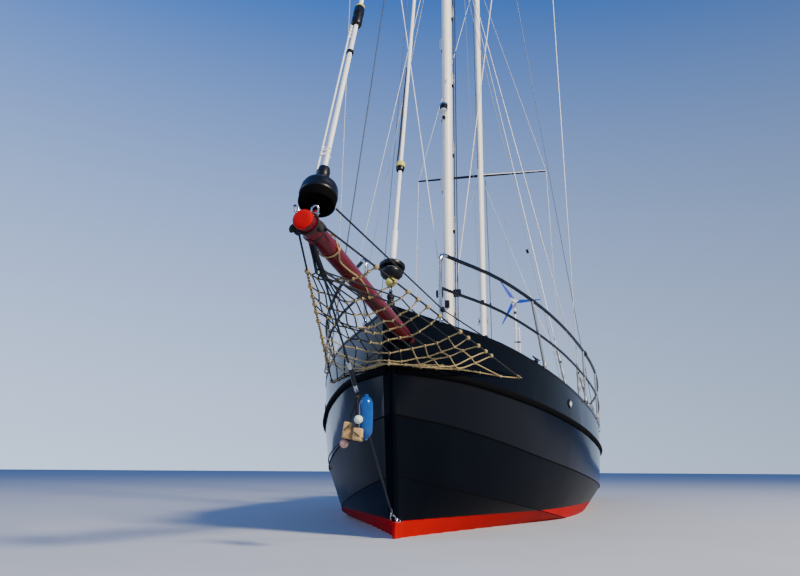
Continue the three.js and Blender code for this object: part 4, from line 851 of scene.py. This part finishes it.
# %% Stem head
post = turned("20 1710, 30 1720, 34 1740, 34 1770, 26 1785, 24 1800, 30 1806, 30 1830, 20 1842")
dress("post", put(post, (0, -5.386, 0)), matt_black)
links = [shackle((0, -5.386, 1.862), (0, 0, -1), (1, 0, 0), 0.03),
         shackle((0, -5.387, 1.868), (0, 0, 1), (0, 1, 0), 0.028)]
dress("stem_head_links", links, polished_steel)
print("stem head links:", len(links))

# %% [markdown]
# ## The bowsprit's end
# Two shackles hang on lugs on top of the sprit's end, black lashings hold the net's edge ropes, and
# a red lug below takes the bobstay. A tan lashing line winds round the sprit further in.


# %% Fittings at the bowsprit's end
def round_sprit(along, turn, radius):
    """A point beside the sprit at a distance from its tip."""
    out = sprit_way.cross(vec(0, 0, 1)).normalized()
    beside = out * math.cos(turn) + out.cross(sprit_way) * math.sin(turn)
    return SPRIT_TIP + sprit_way * along + beside * radius


SPRIT_RADIUS = 0.057
dress("bobstay_lug", block((-0.045, -7.15, 1.712), (-0.021, -7.1, 1.762), 0.006), sprit_enamel)
rings = [shackle((-0.091, -7.2, 1.874), (-0.35, 0, 1), (0.4, 1, 0), 0.044),
         shackle((0.006, -7.19, 1.866), (0.1, 0, 1), (1, 0.5, 0), 0.044)]
dress("sprit_end_shackles", rings, polished_steel)
# The end cap is in the brighter red, as painted light
end_cap = turned("30 -8, 50 -7, 57.5 -3, 59 2, 59 9, 56 12", 32)
dress("sprit_end_cap", put(end_cap, SPRIT_TIP + vec(-0.006, 0, 0), sprit_way), sprit_end_painted_light)
wraps = []
for along in (0.056, 0.146):
    loop = [round_sprit(along + 0.003 * math.sin(3 * i), 2 * math.pi * i / 24, 0.064) for i in range(24)]
    wraps.append(tube([loop], 0.0065, 6, closed=True))
for at, way in (((-0.1126, -7.2, 1.7844), (0.4, 0.3, 1)), ((0.0435, -7.2, 1.7732), (-0.4, 0.3, 1)),
                ((-0.094, -7.17, 1.77), (0.2, 1, 0.2)), ((0.019, -7.16, 1.818), (1, 0.3, -0.4)),
                ((0.036, -7.13, 1.8), (0.5, 1, -0.6))):
    wraps.append(put(turned("6 -30, 17 -18, 21 0, 16 16, 6 28", 10, 60), at, way))
dress("net_lashing", wraps, dark_rope)
WOUND_FROM, WOUND_PITCH, WOUND_START, WOUND_TURN = 0.3, 0.007, 0.7, 0.45
winding = [round_sprit(WOUND_FROM + WOUND_PITCH * i, WOUND_TURN * i + WOUND_START, SPRIT_RADIUS + 0.007)
           for i in range(15)]
LED = ((0.3, 40), (0.33, 40), (0.38, -20), (0.46, -50), (0.6, -45), (0.75, -30), (0.9, -35), (1.05, -60))
run = eased([round_sprit(along, math.radians(turn), SPRIT_RADIUS + 0.009) for along, turn in LED])
dress("sprit_lashing_line", tube([winding, run], 0.005, 6), tan_rope)
print("lashings:", len(wraps))

# %% [markdown]
# ## The bow net
# A hand-knotted rope net hangs under the bowsprit between two edge ropes, to catch whoever works
# out there. Cross ropes hang in bights from edge to edge, strands run aft from a bunch lashed under
# the sprit's end, and every crossing is a knot. All lines are round bars along computed bights.

# %% The net's shape
EDGE_START = {1: vec(0.04, -7.2, 1.8), -1: vec(-0.09, -7.2, 1.8)}
EDGE_END = {side: vec(side * 0.905, -4.05, 1.325) for side, _ in SIDES}
# Each row by its share of the edge rope's length. The forward rows say how far they hang below the
# sprit's middle, two their height at the stem and their fullness, and the aft ones at which share of
# their half-width they come down to the lower edge rope
NET_SLACK = {0.189: 0.078, 0.264: 0.115, 0.319: 0.15, 0.364: 0.178, 0.41: 0.173, 0.469: 0.186}
NET_MIDDLES = {0.582: (1.372, 1.6), 0.629: (1.315, 2.6)}
NET_JOINS = {0.693: 0.38, 0.741: 0.63, 0.78: 0.73, 1.0: 1.0}
NET_ROWS = [*NET_SLACK, *NET_MIDDLES, *NET_JOINS]
NET_STRANDS, KNOT_STRAY = 11, 0.011
STEM_FACE, STEM_HALF, STEM_PROUD, NET_CLEAR = -5.39, 0.05, 0.03, 0.018
# The aft rows lie this far above the rub rail, and rise from there on towards the sides
OVER_RAIL, RISES_FROM, RISES_BY = 0.035, 0.25, 0.158
# Powers of the share of the half-width: how rows bend aft, how they hang, and how the last one rises
NET_SWEEP, NET_HANG, LAST_RISE = 1.2, 2.0, 6


def bow_face(x, z):
    """The y of the bow's outer face at a half-breadth and a height."""
    def at(share):
        rub, top = on_line(RUB, share), on_line(TOP, share)
        return rub.lerp(top, min(max((z - rub.z) / (top.z - rub.z), 0), 1))
    low = share_where(lambda share: at(share).x, x, 0.5, 24)
    return at(low).y - (STEM_PROUD if x < STEM_HALF else 0.0)


def net_point(row, side):
    """A cross rope's point, from -1 on the starboard edge to 1 on the port edge."""
    word = 1 if side >= 0 else -1
    held = EDGE_START[word].lerp(EDGE_END[word], row)
    belly = min(held.y, STEM_FACE)
    axis_share = (belly - SPRIT_TIP.y) / (SPRIT_ROOT.y - SPRIT_TIP.y)
    hung = (SPRIT_TIP.lerp(SPRIT_ROOT, axis_share).z - NET_SLACK.get(row, 0), NET_HANG)
    under, fullness = NET_MIDDLES.get(row, hung)
    share = abs(side)
    x, y = held.x * share, belly + (held.y - belly) * share ** NET_SWEEP
    if row in NET_JOINS:
        z = line_at(RUB, abs(x), 0).z + OVER_RAIL + max(abs(x) - RISES_FROM, 0) * RISES_BY
        joins = NET_JOINS[row]
        z += (held.z - z) * (share ** LAST_RISE if row == 1.0 else max((share - joins) / (1 - joins), 0))
    else:
        z = under + (held.z - under) * share ** fullness
    return vec(x, min(y, bow_face(abs(x), z) - NET_CLEAR), z)


strand_sides = [-1 + 2 * i / (NET_STRANDS + 1) for i in range(1, NET_STRANDS + 1)]
grid = {}
for row in NET_ROWS:
    for side in [-1, *strand_sides, 1]:
        stray = KNOT_STRAY if abs(side) < 1 and row < 1.0 else 0
        grid[row, side] = net_point(row, side) + Vector([random.uniform(-stray, stray) for _ in range(3)])
print("net crossings:", len(grid))

# %% The net's ropes and knots
TAN_FROM, BUNCH_STRAY, ROPE = 0.5, 0.03, 0.0055
WRAP_FROM, WRAP_LENGTH, WRAP_STEPS, WRAP_TURN, WRAP_OUT = 0.2, 0.5, 110, 0.9, 0.0075
# The forward rows are dark on the starboard half as painted shade, up to this point of their runs
PAINTED_SHADE_TO = 16
BUNCH = ((vec(-0.042, -7.1, 1.735), 0.5), (vec(-0.039, -7.02, 1.665), 0.7), (vec(-0.037, -6.95, 1.6), 1))
row_runs = [eased([grid[row, side] for side in [-1, *strand_sides, 1]], 3) for row in NET_ROWS]
dark_runs, tan_runs = [], []
for side in strand_sides:
    stray = Vector([random.uniform(-BUNCH_STRAY, BUNCH_STRAY) for _ in range(3)])
    rows = NET_ROWS[2 if side > 0.4 else 1 if abs(side) < 0.5 else 0:]
    run = [at + stray * loose for at, loose in BUNCH] + [grid[row, side] for row in rows]
    # On the port side the lighter rope takes over aft of the forward rows; the dark strands are painted shade
    split = len(BUNCH) + sum(row < TAN_FROM for row in rows) if side > 0.3 else len(run) - 1
    dark_runs.append(run[:split + 1])
    if side > 0.3:
        tan_runs.append(run[split:])
edge_runs = [[EDGE_START[side], EDGE_END[side]] for side, _ in SIDES]
dark_rows = [run[:PAINTED_SHADE_TO] for run, row in zip(row_runs, NET_ROWS) if row < TAN_FROM]
# The dark strands and the dark parts of the forward rows are painted shade in the darker rope
dark = [tube(dark_runs, ROPE, 6), tube(edge_runs, 0.0065), tube(dark_rows, ROPE, 6)]
dress("bow_net_strands", dark, dark_rope)
tan_rows = [run[PAINTED_SHADE_TO - 1:] if row < TAN_FROM else run for run, row in zip(row_runs, NET_ROWS)]


def round_edge(i, turn):
    """The starboard edge rope is wrapped in two strands of the lighter rope."""
    at = edge_runs[1][0].lerp(edge_runs[1][1], WRAP_FROM + WRAP_LENGTH * i / WRAP_STEPS)
    turn += WRAP_TURN * i
    return at + vec(math.cos(turn), 0, math.sin(turn)) * WRAP_OUT


wrapped = [[round_edge(i, turn) for i in range(WRAP_STEPS + 1)] for turn in (0, math.pi)]
tan = [tube(tan_rows, ROPE, 6), tube(tan_runs, 0.0052, 6), tube(wrapped, 0.005, 6)]
knot = turned("6 -20, 16 -12, 19 0, 15 11, 7 20", 8, 60)
small = turned("6 -11, 10.5 -6, 10.5 5, 6 11", 6, 70)
for (row, side), at in grid.items():
    if abs(side) < 1:
        tan.append(twin(small, at, (random.random(), random.random(), 1), random.random()))
    elif row < 1.0:
        tan.append(twin(knot, at, EDGE_END[1] - EDGE_START[1], random.random()))
discard(knot, small)
dress("knotted_bow_net", tan, tan_rope, stands_for=["bow_net"])
print("net ropes:", len(row_runs) + len(dark_runs) + len(tan_runs))

# %% [markdown]
# The net's aft corners are lashed to eyes on the bulwark.

# %% The net's corners
LASHING, LASHING_PITCH, LASHING_TURN = 0.014, 0.01, 2.1
for side, word in SIDES:
    at, normal = EDGE_END[side], vec(side * 0.8, -0.55, 0.1).normalized()
    forward = (EDGE_START[side] - at).normalized()
    whipping = []
    for i in range(9):
        out, up = LASHING * math.cos(LASHING_TURN * i), LASHING * math.sin(LASHING_TURN * i)
        whipping.append(at + forward * LASHING_PITCH * i + normal * out + vec(0, 0, up))
    dress("net_corner_lashing_" + word, tube([whipping], 0.006, 6), tan_rope)
    dress("net_corner_eye_" + word, hoop(at + normal * 0.004, (0, 0, 1), 0.016, 0.022, 0.005), polished_steel)
print("corners lashed")

# %% [markdown]
# ## Floats under the bobstay
# A blue fender, a white ball, two pieces of cork and a pink ball hang on short lines, kept there as
# spares. A fender is a blown vinyl sausage with a rope eye moulded in each end. The balls and corks
# have a bore with a lip. A dark tail of 8 mm line hangs free from the lowest ball and ends in a knot.

# %% Floats
HUNG = vec(-0.0114, -6.227, 0.9548)
FLOAT_LINE = 0.004


def under(x, y, z):
    return HUNG + vec(x, y, z)


FENDER, BALL, CORK_A = under(0.059, 0.01, -0.126), under(0.024, -0.045, -0.145), under(-0.056, -0.01, -0.211)
CORK_B, PINK = under(0.021, -0.035, -0.238), under(-0.081, 0, -0.293)
fender = turned("7 -146, 12 -143, 13 -132, 26 -125, 37 -110, 43 -90, 44.5 -55, 44.5 55, 43 90, 37 110,"
                "26 125, 13 132, 12 143, 7 146")
dress("fender", put(fender, FENDER), fender_blue, stands_for=["bow_floats"])


def ball(radius, bore):
    turns = [math.radians(angle) for angle in range(30, 151, 12)]
    rings = [(bore, -0.94 * radius), (bore * 1.6, -0.95 * radius)]
    rings += [(radius * math.sin(turn), -radius * math.cos(turn)) for turn in turns]
    return turned(rings + [(bore * 1.6, 0.95 * radius), (bore, 0.94 * radius)], 20)


dress("white_ball", put(ball(0.028, 0.006), BALL, (0.3, 0, 1)), ball_white)
dress("pink_ball", put(ball(0.028, 0.005), PINK, (-0.2, 0, 1)), ball_pink)
corks = [put(block(-Vector(size), Vector(size), 0.008), at, (0.12, 0.05, 1))
         for size, at in (((0.027, 0.029, 0.052), CORK_A), ((0.03, 0.028, 0.039), CORK_B))]
dress("cork_floats", corks, cork)
turns = [math.pi * i / 8 for i in range(16)]
ties = [[CORK_A + vec(0.03 * math.cos(t), 0.033 * math.sin(t), 0.03 * math.cos(t + 0.5)) for t in turns],
        [CORK_B + vec(0.034 * math.cos(t), 0.032 * math.sin(t), -0.026 * math.cos(t)) for t in turns]]
lines = [[HUNG, FENDER + vec(0, 0, 0.14)], [HUNG, under(0.022, -0.045, -0.1), BALL],
         [HUNG, under(-0.034, -0.01, -0.12), CORK_A], [HUNG, under(0.01, -0.045, -0.14), CORK_B],
         [CORK_A, PINK, under(-0.035, -0.02, -0.27), CORK_B - vec(0, 0.01, 0.045)]]
hitch = put(turned("8 -13, 14 -8, 16 0, 13 8, 8 13", 10, 60), HUNG)
lines = [tube(lines, FLOAT_LINE, 6), tube(ties, 0.003, 6, closed=True), hitch]
dress("float_lines", lines, dark_rope)
print("floats hang at", [round(v, 3) for v in HUNG])

# %% The floats' loose tail
TAIL_EXIT, TAIL_END = PINK + vec(-0.026, 0, 0.006), vec(-0.181, -6.225, 0.515)
TAIL_DIAMETER, TAIL_STEPS, TAIL_SWAY, TAIL_BELLY, TAIL_LIFT = 0.008, 17, 0.006, 0.12, 0.05
tail_points = []
for i in range(TAIL_STEPS + 1):
    w = i / TAIL_STEPS
    sway = TAIL_SWAY * math.sin(2 * math.pi * w) - (1 - w) * w * TAIL_BELLY
    tail_points.append(TAIL_EXIT.lerp(TAIL_END, w) + vec(sway, 0, (1 - w) * w * TAIL_LIFT))
tail = bar([tail_points], TAIL_DIAMETER / 2)
end_knot = turned("5 -16, 11 -10, 12 0, 10 8, 5 14", 10, 60)
put(end_knot, TAIL_END, (tail_points[-2] - TAIL_END))
dress("float_tail_line", tail, dark_rope)
dress("float_tail_knot", end_knot, dark_rope)

# %% [markdown]
# ## Bobstay fittings
# The bobstay's rigging screw has turned end nuts, and two bright shackles join its foot to the eye
# on the stem. Shackles are bent from one round bar.

# %% Bobstay fittings
BOBSTAY_TOP, BOBSTAY_FOOT = vec(-0.0228, -7.1988, 1.797), vec(0, -5.248, 0.156)
bobstay_way = (BOBSTAY_FOOT - BOBSTAY_TOP).normalized()
screw = turned("9 0, 14.5 3, 15.5 12, 13.8 20, 13.8 116, 15.5 124, 14.5 133, 9 136", 16)
dress("screw", put(screw, BOBSTAY_TOP + bobstay_way * 1.059, bobstay_way), steel_painted_dark_reflection)
EYE = vec(0, -5.236, 0.146)
shiny = [put(turned("8.5 0, 12.8 3, 13.5 10, 13.5 50, 12.8 56, 8.5 58", 12),
             BOBSTAY_TOP + bobstay_way * along, bobstay_way) for along in (1.0, 1.194)]
shiny += [shackle(EYE, -bobstay_way, (1, 0, 0), 0.042),
          shackle(EYE - bobstay_way * 0.085, bobstay_way, (0, 0.6, 0.8), 0.036),
          shackle((0.028, -5.235, 0.136), (1, 0, -0.3), (0, 0.5, 1), 0.026)]
dress("bobstay_shackles", shiny, polished_steel)
print("bobstay", round((BOBSTAY_FOOT - BOBSTAY_TOP).length, 2), "m long")

# %% [markdown]
# ## Wind generator
# Three moulded blades turn on a cream hub. The pole and its brace are cream tubes, and a black collar
# clamps the head. The rotor's own part gives the blades their shape; only its finish is in two tones.

# %% Wind generator
ROTOR_AT, HUB_RADIUS = vec(0.333, 4.758, 4.098), 0.07
POLE_AT = vec(0.333, 4.888, 0)


def rotor_coat(face):
    x, _, z = face.center - ROTOR_AT
    return int(math.hypot(x, z) < HUB_RADIUS)


rotor = smooth_copy(["wind_rotor"], [blade_gloss, pole_white], rotor_coat, angle=35)
dress("wind_rotor_blades", rotor, blade_gloss, "wind_rotor", stands_for=["wind_rotor"])
straps = [put(turned("27 3840, 34 3845, 36 3860, 36 3885, 34 3900, 27 3905", 20), POLE_AT)]
straps += [block((-0.03, -0.03, z), (0.105, 0.03, z + 0.03), 0.006, POLE_AT) for z in (2.4, 3.2)]
dress("wind_pole_collars", straps, black_nylon)
print("rotor hub at", [round(v, 3) for v in ROTOR_AT])

# %% [markdown]
# ## Rigging screws
# Each wire ends at the deck in a galvanised screw: a fork, two studs and a body between them. One is
# turned and copied to every foot, in line with its wire.

# %% Rigging screws
screw = turned("10 0, 16.5 4, 16.5 50, 14.8 60, 14.8 90, 18 100, 18 140, 15.5 150, 15.5 240,"
               "18 250, 18 290, 14.8 300, 14.8 340, 16.5 350, 16.5 384, 8 392", 12)
CHAINPLATE_INSET = 0.014
# The y of each foot and the point where its wire meets the mast
FEET = ((-2.33, at_mast("main", 8.3, 1.395, 0.06) + vec(0, 0, 0.04)), (-2.935, at_mast("main", 8.2, 0.071)),
        (-1.7, at_mast("main", 8.14, 0.071)), (0.45, at_mast("main", 13.74, 0.071)))
for side, word in SIDES:
    screws = []
    for y, head in FEET:
        at = cap_at(y, side) - vec(side * CHAINPLATE_INSET, 0, 0)
        screws.append(twin(screw, at, vec(side * head.x, head.y, head.z) - at))
    dress("rigging_screws_" + word, screws, galvanised)
discard(screw)
print("screws a side:", len(FEET))

# %% [markdown]
# ## Running rigging
# Halyards and lifts are drawn taut from where they are made fast to their sheave, so each is a
# straight bar of rope. The jib's furling line leads from its drum through two small blocks aft.

# %% Running rigging
MAST_RUNS = [[at_mast("main", 13.7, x, y), at_mast("main", 2.1, x * 1.1, y)]
             for x, y in ((0.083, -0.04), (0.1, 0.02))]
WHITE_RUNS = [[at_mast("main", 2.64, s * 0.085, 0.03), at_mast("main", 8.3, s * 0.83)] for s, _ in SIDES]
THIN_RUNS = [[vec(1.26, -3.2, 1.43), at_mast("main", 7.8, 0.09)],
             [vec(0.66, 1.4, 0.98), at_mast("mizzen", 5.7, 0.36, 0.02)]]
THIN_RUNS += [[vec(s * 1.66, 1.4, 1.0), at_mast("mizzen", 5.6, s * 0.05)] for s, _ in SIDES]
DARK_RUNS = [[vec(-1.11, -3.6, 1.46), at_mast("main", 13.75, -0.07)],
             [at_mast("mizzen", 9.8, -0.07, -0.07), at_mast("mizzen", 5.85, -0.035, -0.08)],
             [at_mast("mizzen", 5.65, 0.09, 0.02), at_mast("mizzen", 3.3, 0.13), vec(0.14, 1.42, 1.0)]]
FURLING = [vec(0.1, -7.1, 1.915), vec(0.345, -4.97, 1.793), vec(0.6445, -4.45, 1.6358),
           vec(1.02, -3.66, 1.52)]
for name, runs, radius, sides, material in (
        ("mast_side_halyards", MAST_RUNS, 0.0055, 6, dark_rope),
        ("white_halyards", WHITE_RUNS, 0.006, 8, white_rope),
        ("thin_halyards", THIN_RUNS, 0.0035, 6, wire_steel),
        ("dark_halyards", DARK_RUNS, 0.007, 8, dark_wire)):
    dress(name, tube(runs, radius, sides), material)
# The topping lift holds up the boom's end from the masthead
LIFT_HEAD, LIFT_FOOT, LIFT_BEND = at_mast("main", 13.86, 0.03, 0.1), vec(0.03, 0.82, 2.33), 0.4
lift = tube([[LIFT_HEAD.lerp(LIFT_FOOT, i / 40) for i in range(41)]], 0.0035, 6)
lift.name = "main_topping_lift"
lift.data.materials.append(wire_steel)
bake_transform(lift)
dress("jib_furling_line", tube([FURLING], 0.006), dark_rope)
cheek = turned("12 -14, 24 -12, 26 -4, 20 0, 26 4, 24 12, 12 14", 16)
CHEEKS = [(at, (1, -0.3, 0.2)) for at in FURLING[1:]]
CHEEKS += [((0.9719, -2.9, 2.888), (1, 0, 0.3)), (at_mast("mizzen", 3.3, 0.13), (1, 0, 0.2))]
dress("small_blocks", [twin(cheek, at, axis) for at, axis in CHEEKS], black_nylon)
discard(cheek)
print("lines:", len(WHITE_RUNS) + len(THIN_RUNS) + len(DARK_RUNS) + 1)

# %% [markdown]
# ## Gear on the masts
# A deck light with a bright rim looks down from the main mast. Folding steps lie against its sides,
# white with a black foot. Horn cleats hold the halyards above and below the winches.

# %% Gear on the masts
LIGHT_AT, LIGHT_WAY = at_mast("main", 5.04, -0.025, -0.13), (0, -0.25, -1)
shade = put(turned("18 -10, 44 0, 50 15, 50 75, 44 82"), LIGHT_AT, LIGHT_WAY)
arm = block((-0.012, 0.0, -0.03), (0.012, 0.08, 0.0), about=LIGHT_AT)
dress("deck_light", [shade, arm], black_nylon)
for name, rings, material in (("deck_light_rim", "44 -12, 53 -8, 53 14, 44 18", polished_steel),
                              ("deck_light_lens", "42 80, 42 86, 30 94, 12 98", lamp_lens)):
    dress(name, put(turned(rings), LIGHT_AT, LIGHT_WAY), material)
STEPS = [(1, 3.36), (1, 4.39), (1, 5.39), (1, 6.41), (-1, 3.89), (-1, 5.93), (-1, 4.89)]
STEP_LOOP = ((0.01, 0.18), (0.026, 0.15), (0.028, 0.03), (0.01, 0))
brackets, feet = [], []
for side, z in STEPS:
    at = at_mast("main", z, side * 0.062)
    loop = [at + vec(side * out, -0.015, up) for out, up in STEP_LOOP]
    brackets.append(block((-0.012, -0.02, 0), (0.012, 0.02, 0.19), 0.006, at))
    brackets.append(tube([loop], 0.005, 6))
    reach = 0.018 if side > 0 else 0.012
    feet.append(block((-0.012, -0.03, -0.03), (reach, 0.03, 0.005), 0.005, at))
dress("mast_steps", brackets, spar_paint)
dress("mast_step_feet", feet, black_nylon)
print("mast steps:", len(STEPS))

# %% Cleats, fittings and eyes on the masts
HORN = [(0, -0.075, 0.034), (0, -0.045, 0.028), (0, 0, 0.026), (0, 0.045, 0.028), (0, 0.075, 0.034)]
HORN_SWELL = [0.6, 0.9, 1.15, 0.9, 0.6]
cleat = joined([tube([HORN], 0.0095, swell=HORN_SWELL),
                block((-0.014, -0.032, -0.004), (0.014, 0.032, 0.006), 0.003),
                block((-0.008, -0.02, 0.0), (0.008, 0.02, 0.03))])
on_masts, on_caps = [], []
for mast, z, across in (("main", 2.05, 0.064), ("main", 2.3, 0.064), ("main", 3.0, 0.063),
                        ("mizzen", 3.0, 0.051), ("mizzen", 2.7, 0.051)):
    for side, _ in SIDES:
        # A cleat on a mast's side stands with its horns up and down
        copy = twin(cleat)
        upended = Matrix.Rotation(side * math.pi / 2, 4, "Y") @ Matrix.Rotation(math.pi / 2, 4, "Z")
        copy.matrix_world = Matrix.Translation(at_mast(mast, z, side * across)) @ upended
        on_masts.append(fix_place(copy))
dress("mast_cleats", on_masts, galvanised)
for y in (-3.74, -1.95, -0.3, 2.35, 4.65):
    for side, _ in SIDES:
        way = cap_at(y + 0.05, side) - cap_at(y - 0.05, side)
        turn = -side * math.atan2(side * way.x, way.y)
        on_caps.append(twin(cleat, cap_at(y, side, 0.021), (0, -way.z, way.y), turn))
dress("bulwark_cleats", on_caps, steel_painted_dark_reflection)
discard(cleat)
fitting = [block(at_mast("mizzen", 3.3, -0.03, -0.1), at_mast("mizzen", 3.36, 0.03, -0.06), 0.006),
           block(at_mast("main", 2.36, -0.028, -0.125), at_mast("main", 2.45, 0.028, -0.085), 0.006),
           block(at_mast("main", 4.86, -0.05, -0.12), at_mast("main", 4.9, -0.01, -0.085), 0.005)]
dress("mast_fittings", fitting, black_nylon)
eyes = [hoop(at_mast("main", z, 0.0, -0.112), (1, 0, 0), 0.018, 0.022, 0.004) for z in (5.4, 2.2)]
dress("mast_eyes", eyes, polished_steel)
print("cleats:", len(on_masts) + len(on_caps))

# %% [markdown]
# ## Fairleads
# Each bulwark has two oval fairleads for the mooring ropes: a bright rolled lip in a dark frame, and a white
# dish in the opening as painted reflection.


# %% Fairleads
def on_plate(y, z):
    rub, top = line_at(RUB, y), line_at(TOP, y)
    return rub.lerp(top, (z - rub.z) / (top.z - rub.z))


bright, dark, dishes = [], [], []
for side, _ in SIDES:
    for y, rise in ((-2.88, 1.185), (3.9, 0.9)):
        at = on_plate(y, rise)
        normal = (on_plate(at.y, rise + 0.05) - at).cross(on_plate(at.y + 0.05, rise) - at).normalized()
        normal *= math.copysign(1, normal.x)
        at, normal = vec(side * at.x, at.y, at.z), vec(side * normal.x, normal.y, normal.z)
        bright.append(hoop(at + normal * 0.006, normal, 0.05, 0.03, 0.01))
        dark.append(hoop(at + normal * 0.004, normal, 0.068, 0.042, 0.007))
        # The white dish in the opening is painted reflection
        dish = turned("30 0, 30 4, 24 8, 10 6", 20)
        dishes.append(put(dish, at + normal * 0.003, normal, math.atan2(normal.y, normal.x)))
dress("fairlead_lips", bright, polished_steel)
dress("fairlead_frames", dark, matt_black)
dress("fairlead_painted_reflections", dishes, pole_white)
print("fairleads:", len(bright))

# %% [markdown]
# ## Windows and portlights
# The openings were cut with round corners. Each has a bright metal frame, which is a bar bent round
# the opening, and the portlights have tinted panes set in them.

# %% Windows and portlights
# The coachroof's side widens over its length from its front, and the portlights stand along it
ROOF_FRONT, ROOF_FRONT_HALF, ROOF_LENGTH, ROOF_WIDENS = -2.7, 0.68, 1.7, 0.28
PORT_HEIGHT, PORT_PROUD, PORT_SLOPE = 1.215, 0.006, math.atan2(ROOF_WIDENS, ROOF_LENGTH)
frames = [hoop((s * 1.004, 0.15, 1.59), (s, 0, 0), 0.64, 0.14, 0.012, 0.28, 8) for s, _ in SIDES]
frames.append(hoop((0, -0.704, 1.64), (0, -1, 0), 0.765, 0.12, 0.012, 0.28, 8))
panes = []
for side, _ in SIDES:
    facing = vec(side * math.cos(PORT_SLOPE), -math.sin(PORT_SLOPE), 0)
    for share in (0.2, 0.5, 0.8):
        half = ROOF_FRONT_HALF + ROOF_WIDENS * share
        at = vec(side * half, ROOF_FRONT + ROOF_LENGTH * share, PORT_HEIGHT)
        frames.append(hoop(at + facing * PORT_PROUD, facing, 0.218, 0.073, 0.009, 0.4, 8))
        pane = block((-0.064, -0.208, -0.003), (0.064, 0.208, 0.003), 0.0028)
        panes.append(put(pane, at - facing * PORT_PROUD, facing, -side * PORT_SLOPE))
dress("window_frames", frames, polished_steel)
dress("portlight_panes", panes, glass)
print("frames:", len(frames), "panes:", len(panes))

# %% [markdown]
# ## On deck
# Teak handrails run along both roofs on raised feet. Each hatch has two hinges and a lifting handle.
# Winches stand on the cockpit coaming, a compass on the pedestal, and a teak grating covers the sole.


# %% Handrails and hatch gear
def handrail(start, end, lift=0.045, apart=0.35):
    a, b = Vector(start), Vector(end)
    count = max(3, round((b - a).length / apart))
    feet = [block((-0.011, -0.03, -0.004), (0.011, 0.03, lift), 0.006, a.lerp(b, (i + 0.5) / count))
            for i in range(count)]
    return [tube([[a + vec(0, 0, lift), b + vec(0, 0, lift)]], 0.014, 10), *feet]


teak_rails = []
for side, _ in SIDES:
    teak_rails += handrail((side * 0.6, -2.55, 1.385), (side * 0.86, -0.85, 1.4))
    teak_rails += handrail((side * 0.88, -0.6, 1.83), (side * 0.88, 0.95, 1.83))
dress("roof_handrails", teak_rails, teak)
HANDLE = ((-0.06, -0.003), (-0.058, 0.022), (-0.045, 0.032), (0.045, 0.032), (0.058, 0.022), (0.06, -0.003))
for node in ("fore_hatch_lid", "main_hatch_lid"):
    low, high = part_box(node)
    gear = [block((-0.014, -0.07, -0.002), (0.014, -0.004, 0.007), 0.003, (x, high[1], high[2]))
            for x in (-0.12, 0.12)]
    gear.append(tube([[(x, low[1] + 0.07, high[2] + rise) for x, rise in HANDLE]], 0.006))
    dress(node + "_gear", gear, polished_steel, node)
print("handrails and hatch gear fitted")

# %% Cockpit gear
winch = turned("50 0, 52 6, 45 12, 34 30, 33 60, 42 78, 46 84, 46 96, 30 104, 12 106")
winches = [twin(winch, (s * 0.88, y, 1.034)) for s, _ in SIDES for y in (2.25, 2.75)]
dress("cockpit_winches", winches, polished_steel)
COMPASS_AT = (0, 3.13, 0)
bowl = turned("55 1228, 66 1235, 68 1262, 60 1272, 50 1274", 32)
dress("compass_bowl", put(bowl, COMPASS_AT), black_nylon)
cover = turned("54 1270, 53 1280, 47 1296, 34 1310, 16 1318", 32)
dress("compass_dome", put(cover, COMPASS_AT), lamp_lens)
slat = block((-0.018, 1.9, 0.442), (0.018, 2.98, 0.456), 0.003)
bearer = block((-0.385, -0.018, 0.431), (0.385, 0.018, 0.443), 0.003)
slats = [twin(slat, (-0.36 + 0.06 * i, 0, 0)) for i in range(13)]
slats += [twin(bearer, (0, y, 0)) for y in (1.98, 2.3, 2.62, 2.92)]
discard(winch, slat, bearer)
dress("cockpit_grating", slats, teak)
boards = [block((-0.725, 1.044, z), (-0.195, 1.052, z + 0.17), 0.003) for z in (1.12, 1.31, 1.5, 1.69)]
dress("companion_door_boards", boards, teak, "companion_door")
print("cockpit fitted")

# %% Mastheads
LAMP = "30 -4, 34 6, 34 20, 26 26, 26 70, 34 76, 34 90, 20 100"
tops = [put(turned(LAMP, 20), at_mast(mast, z)) for mast, z in (("main", 13.94), ("mizzen", 9.93))]
dress("masthead_lamps", tops, black_nylon)
print("masthead lamps:", len(tops))
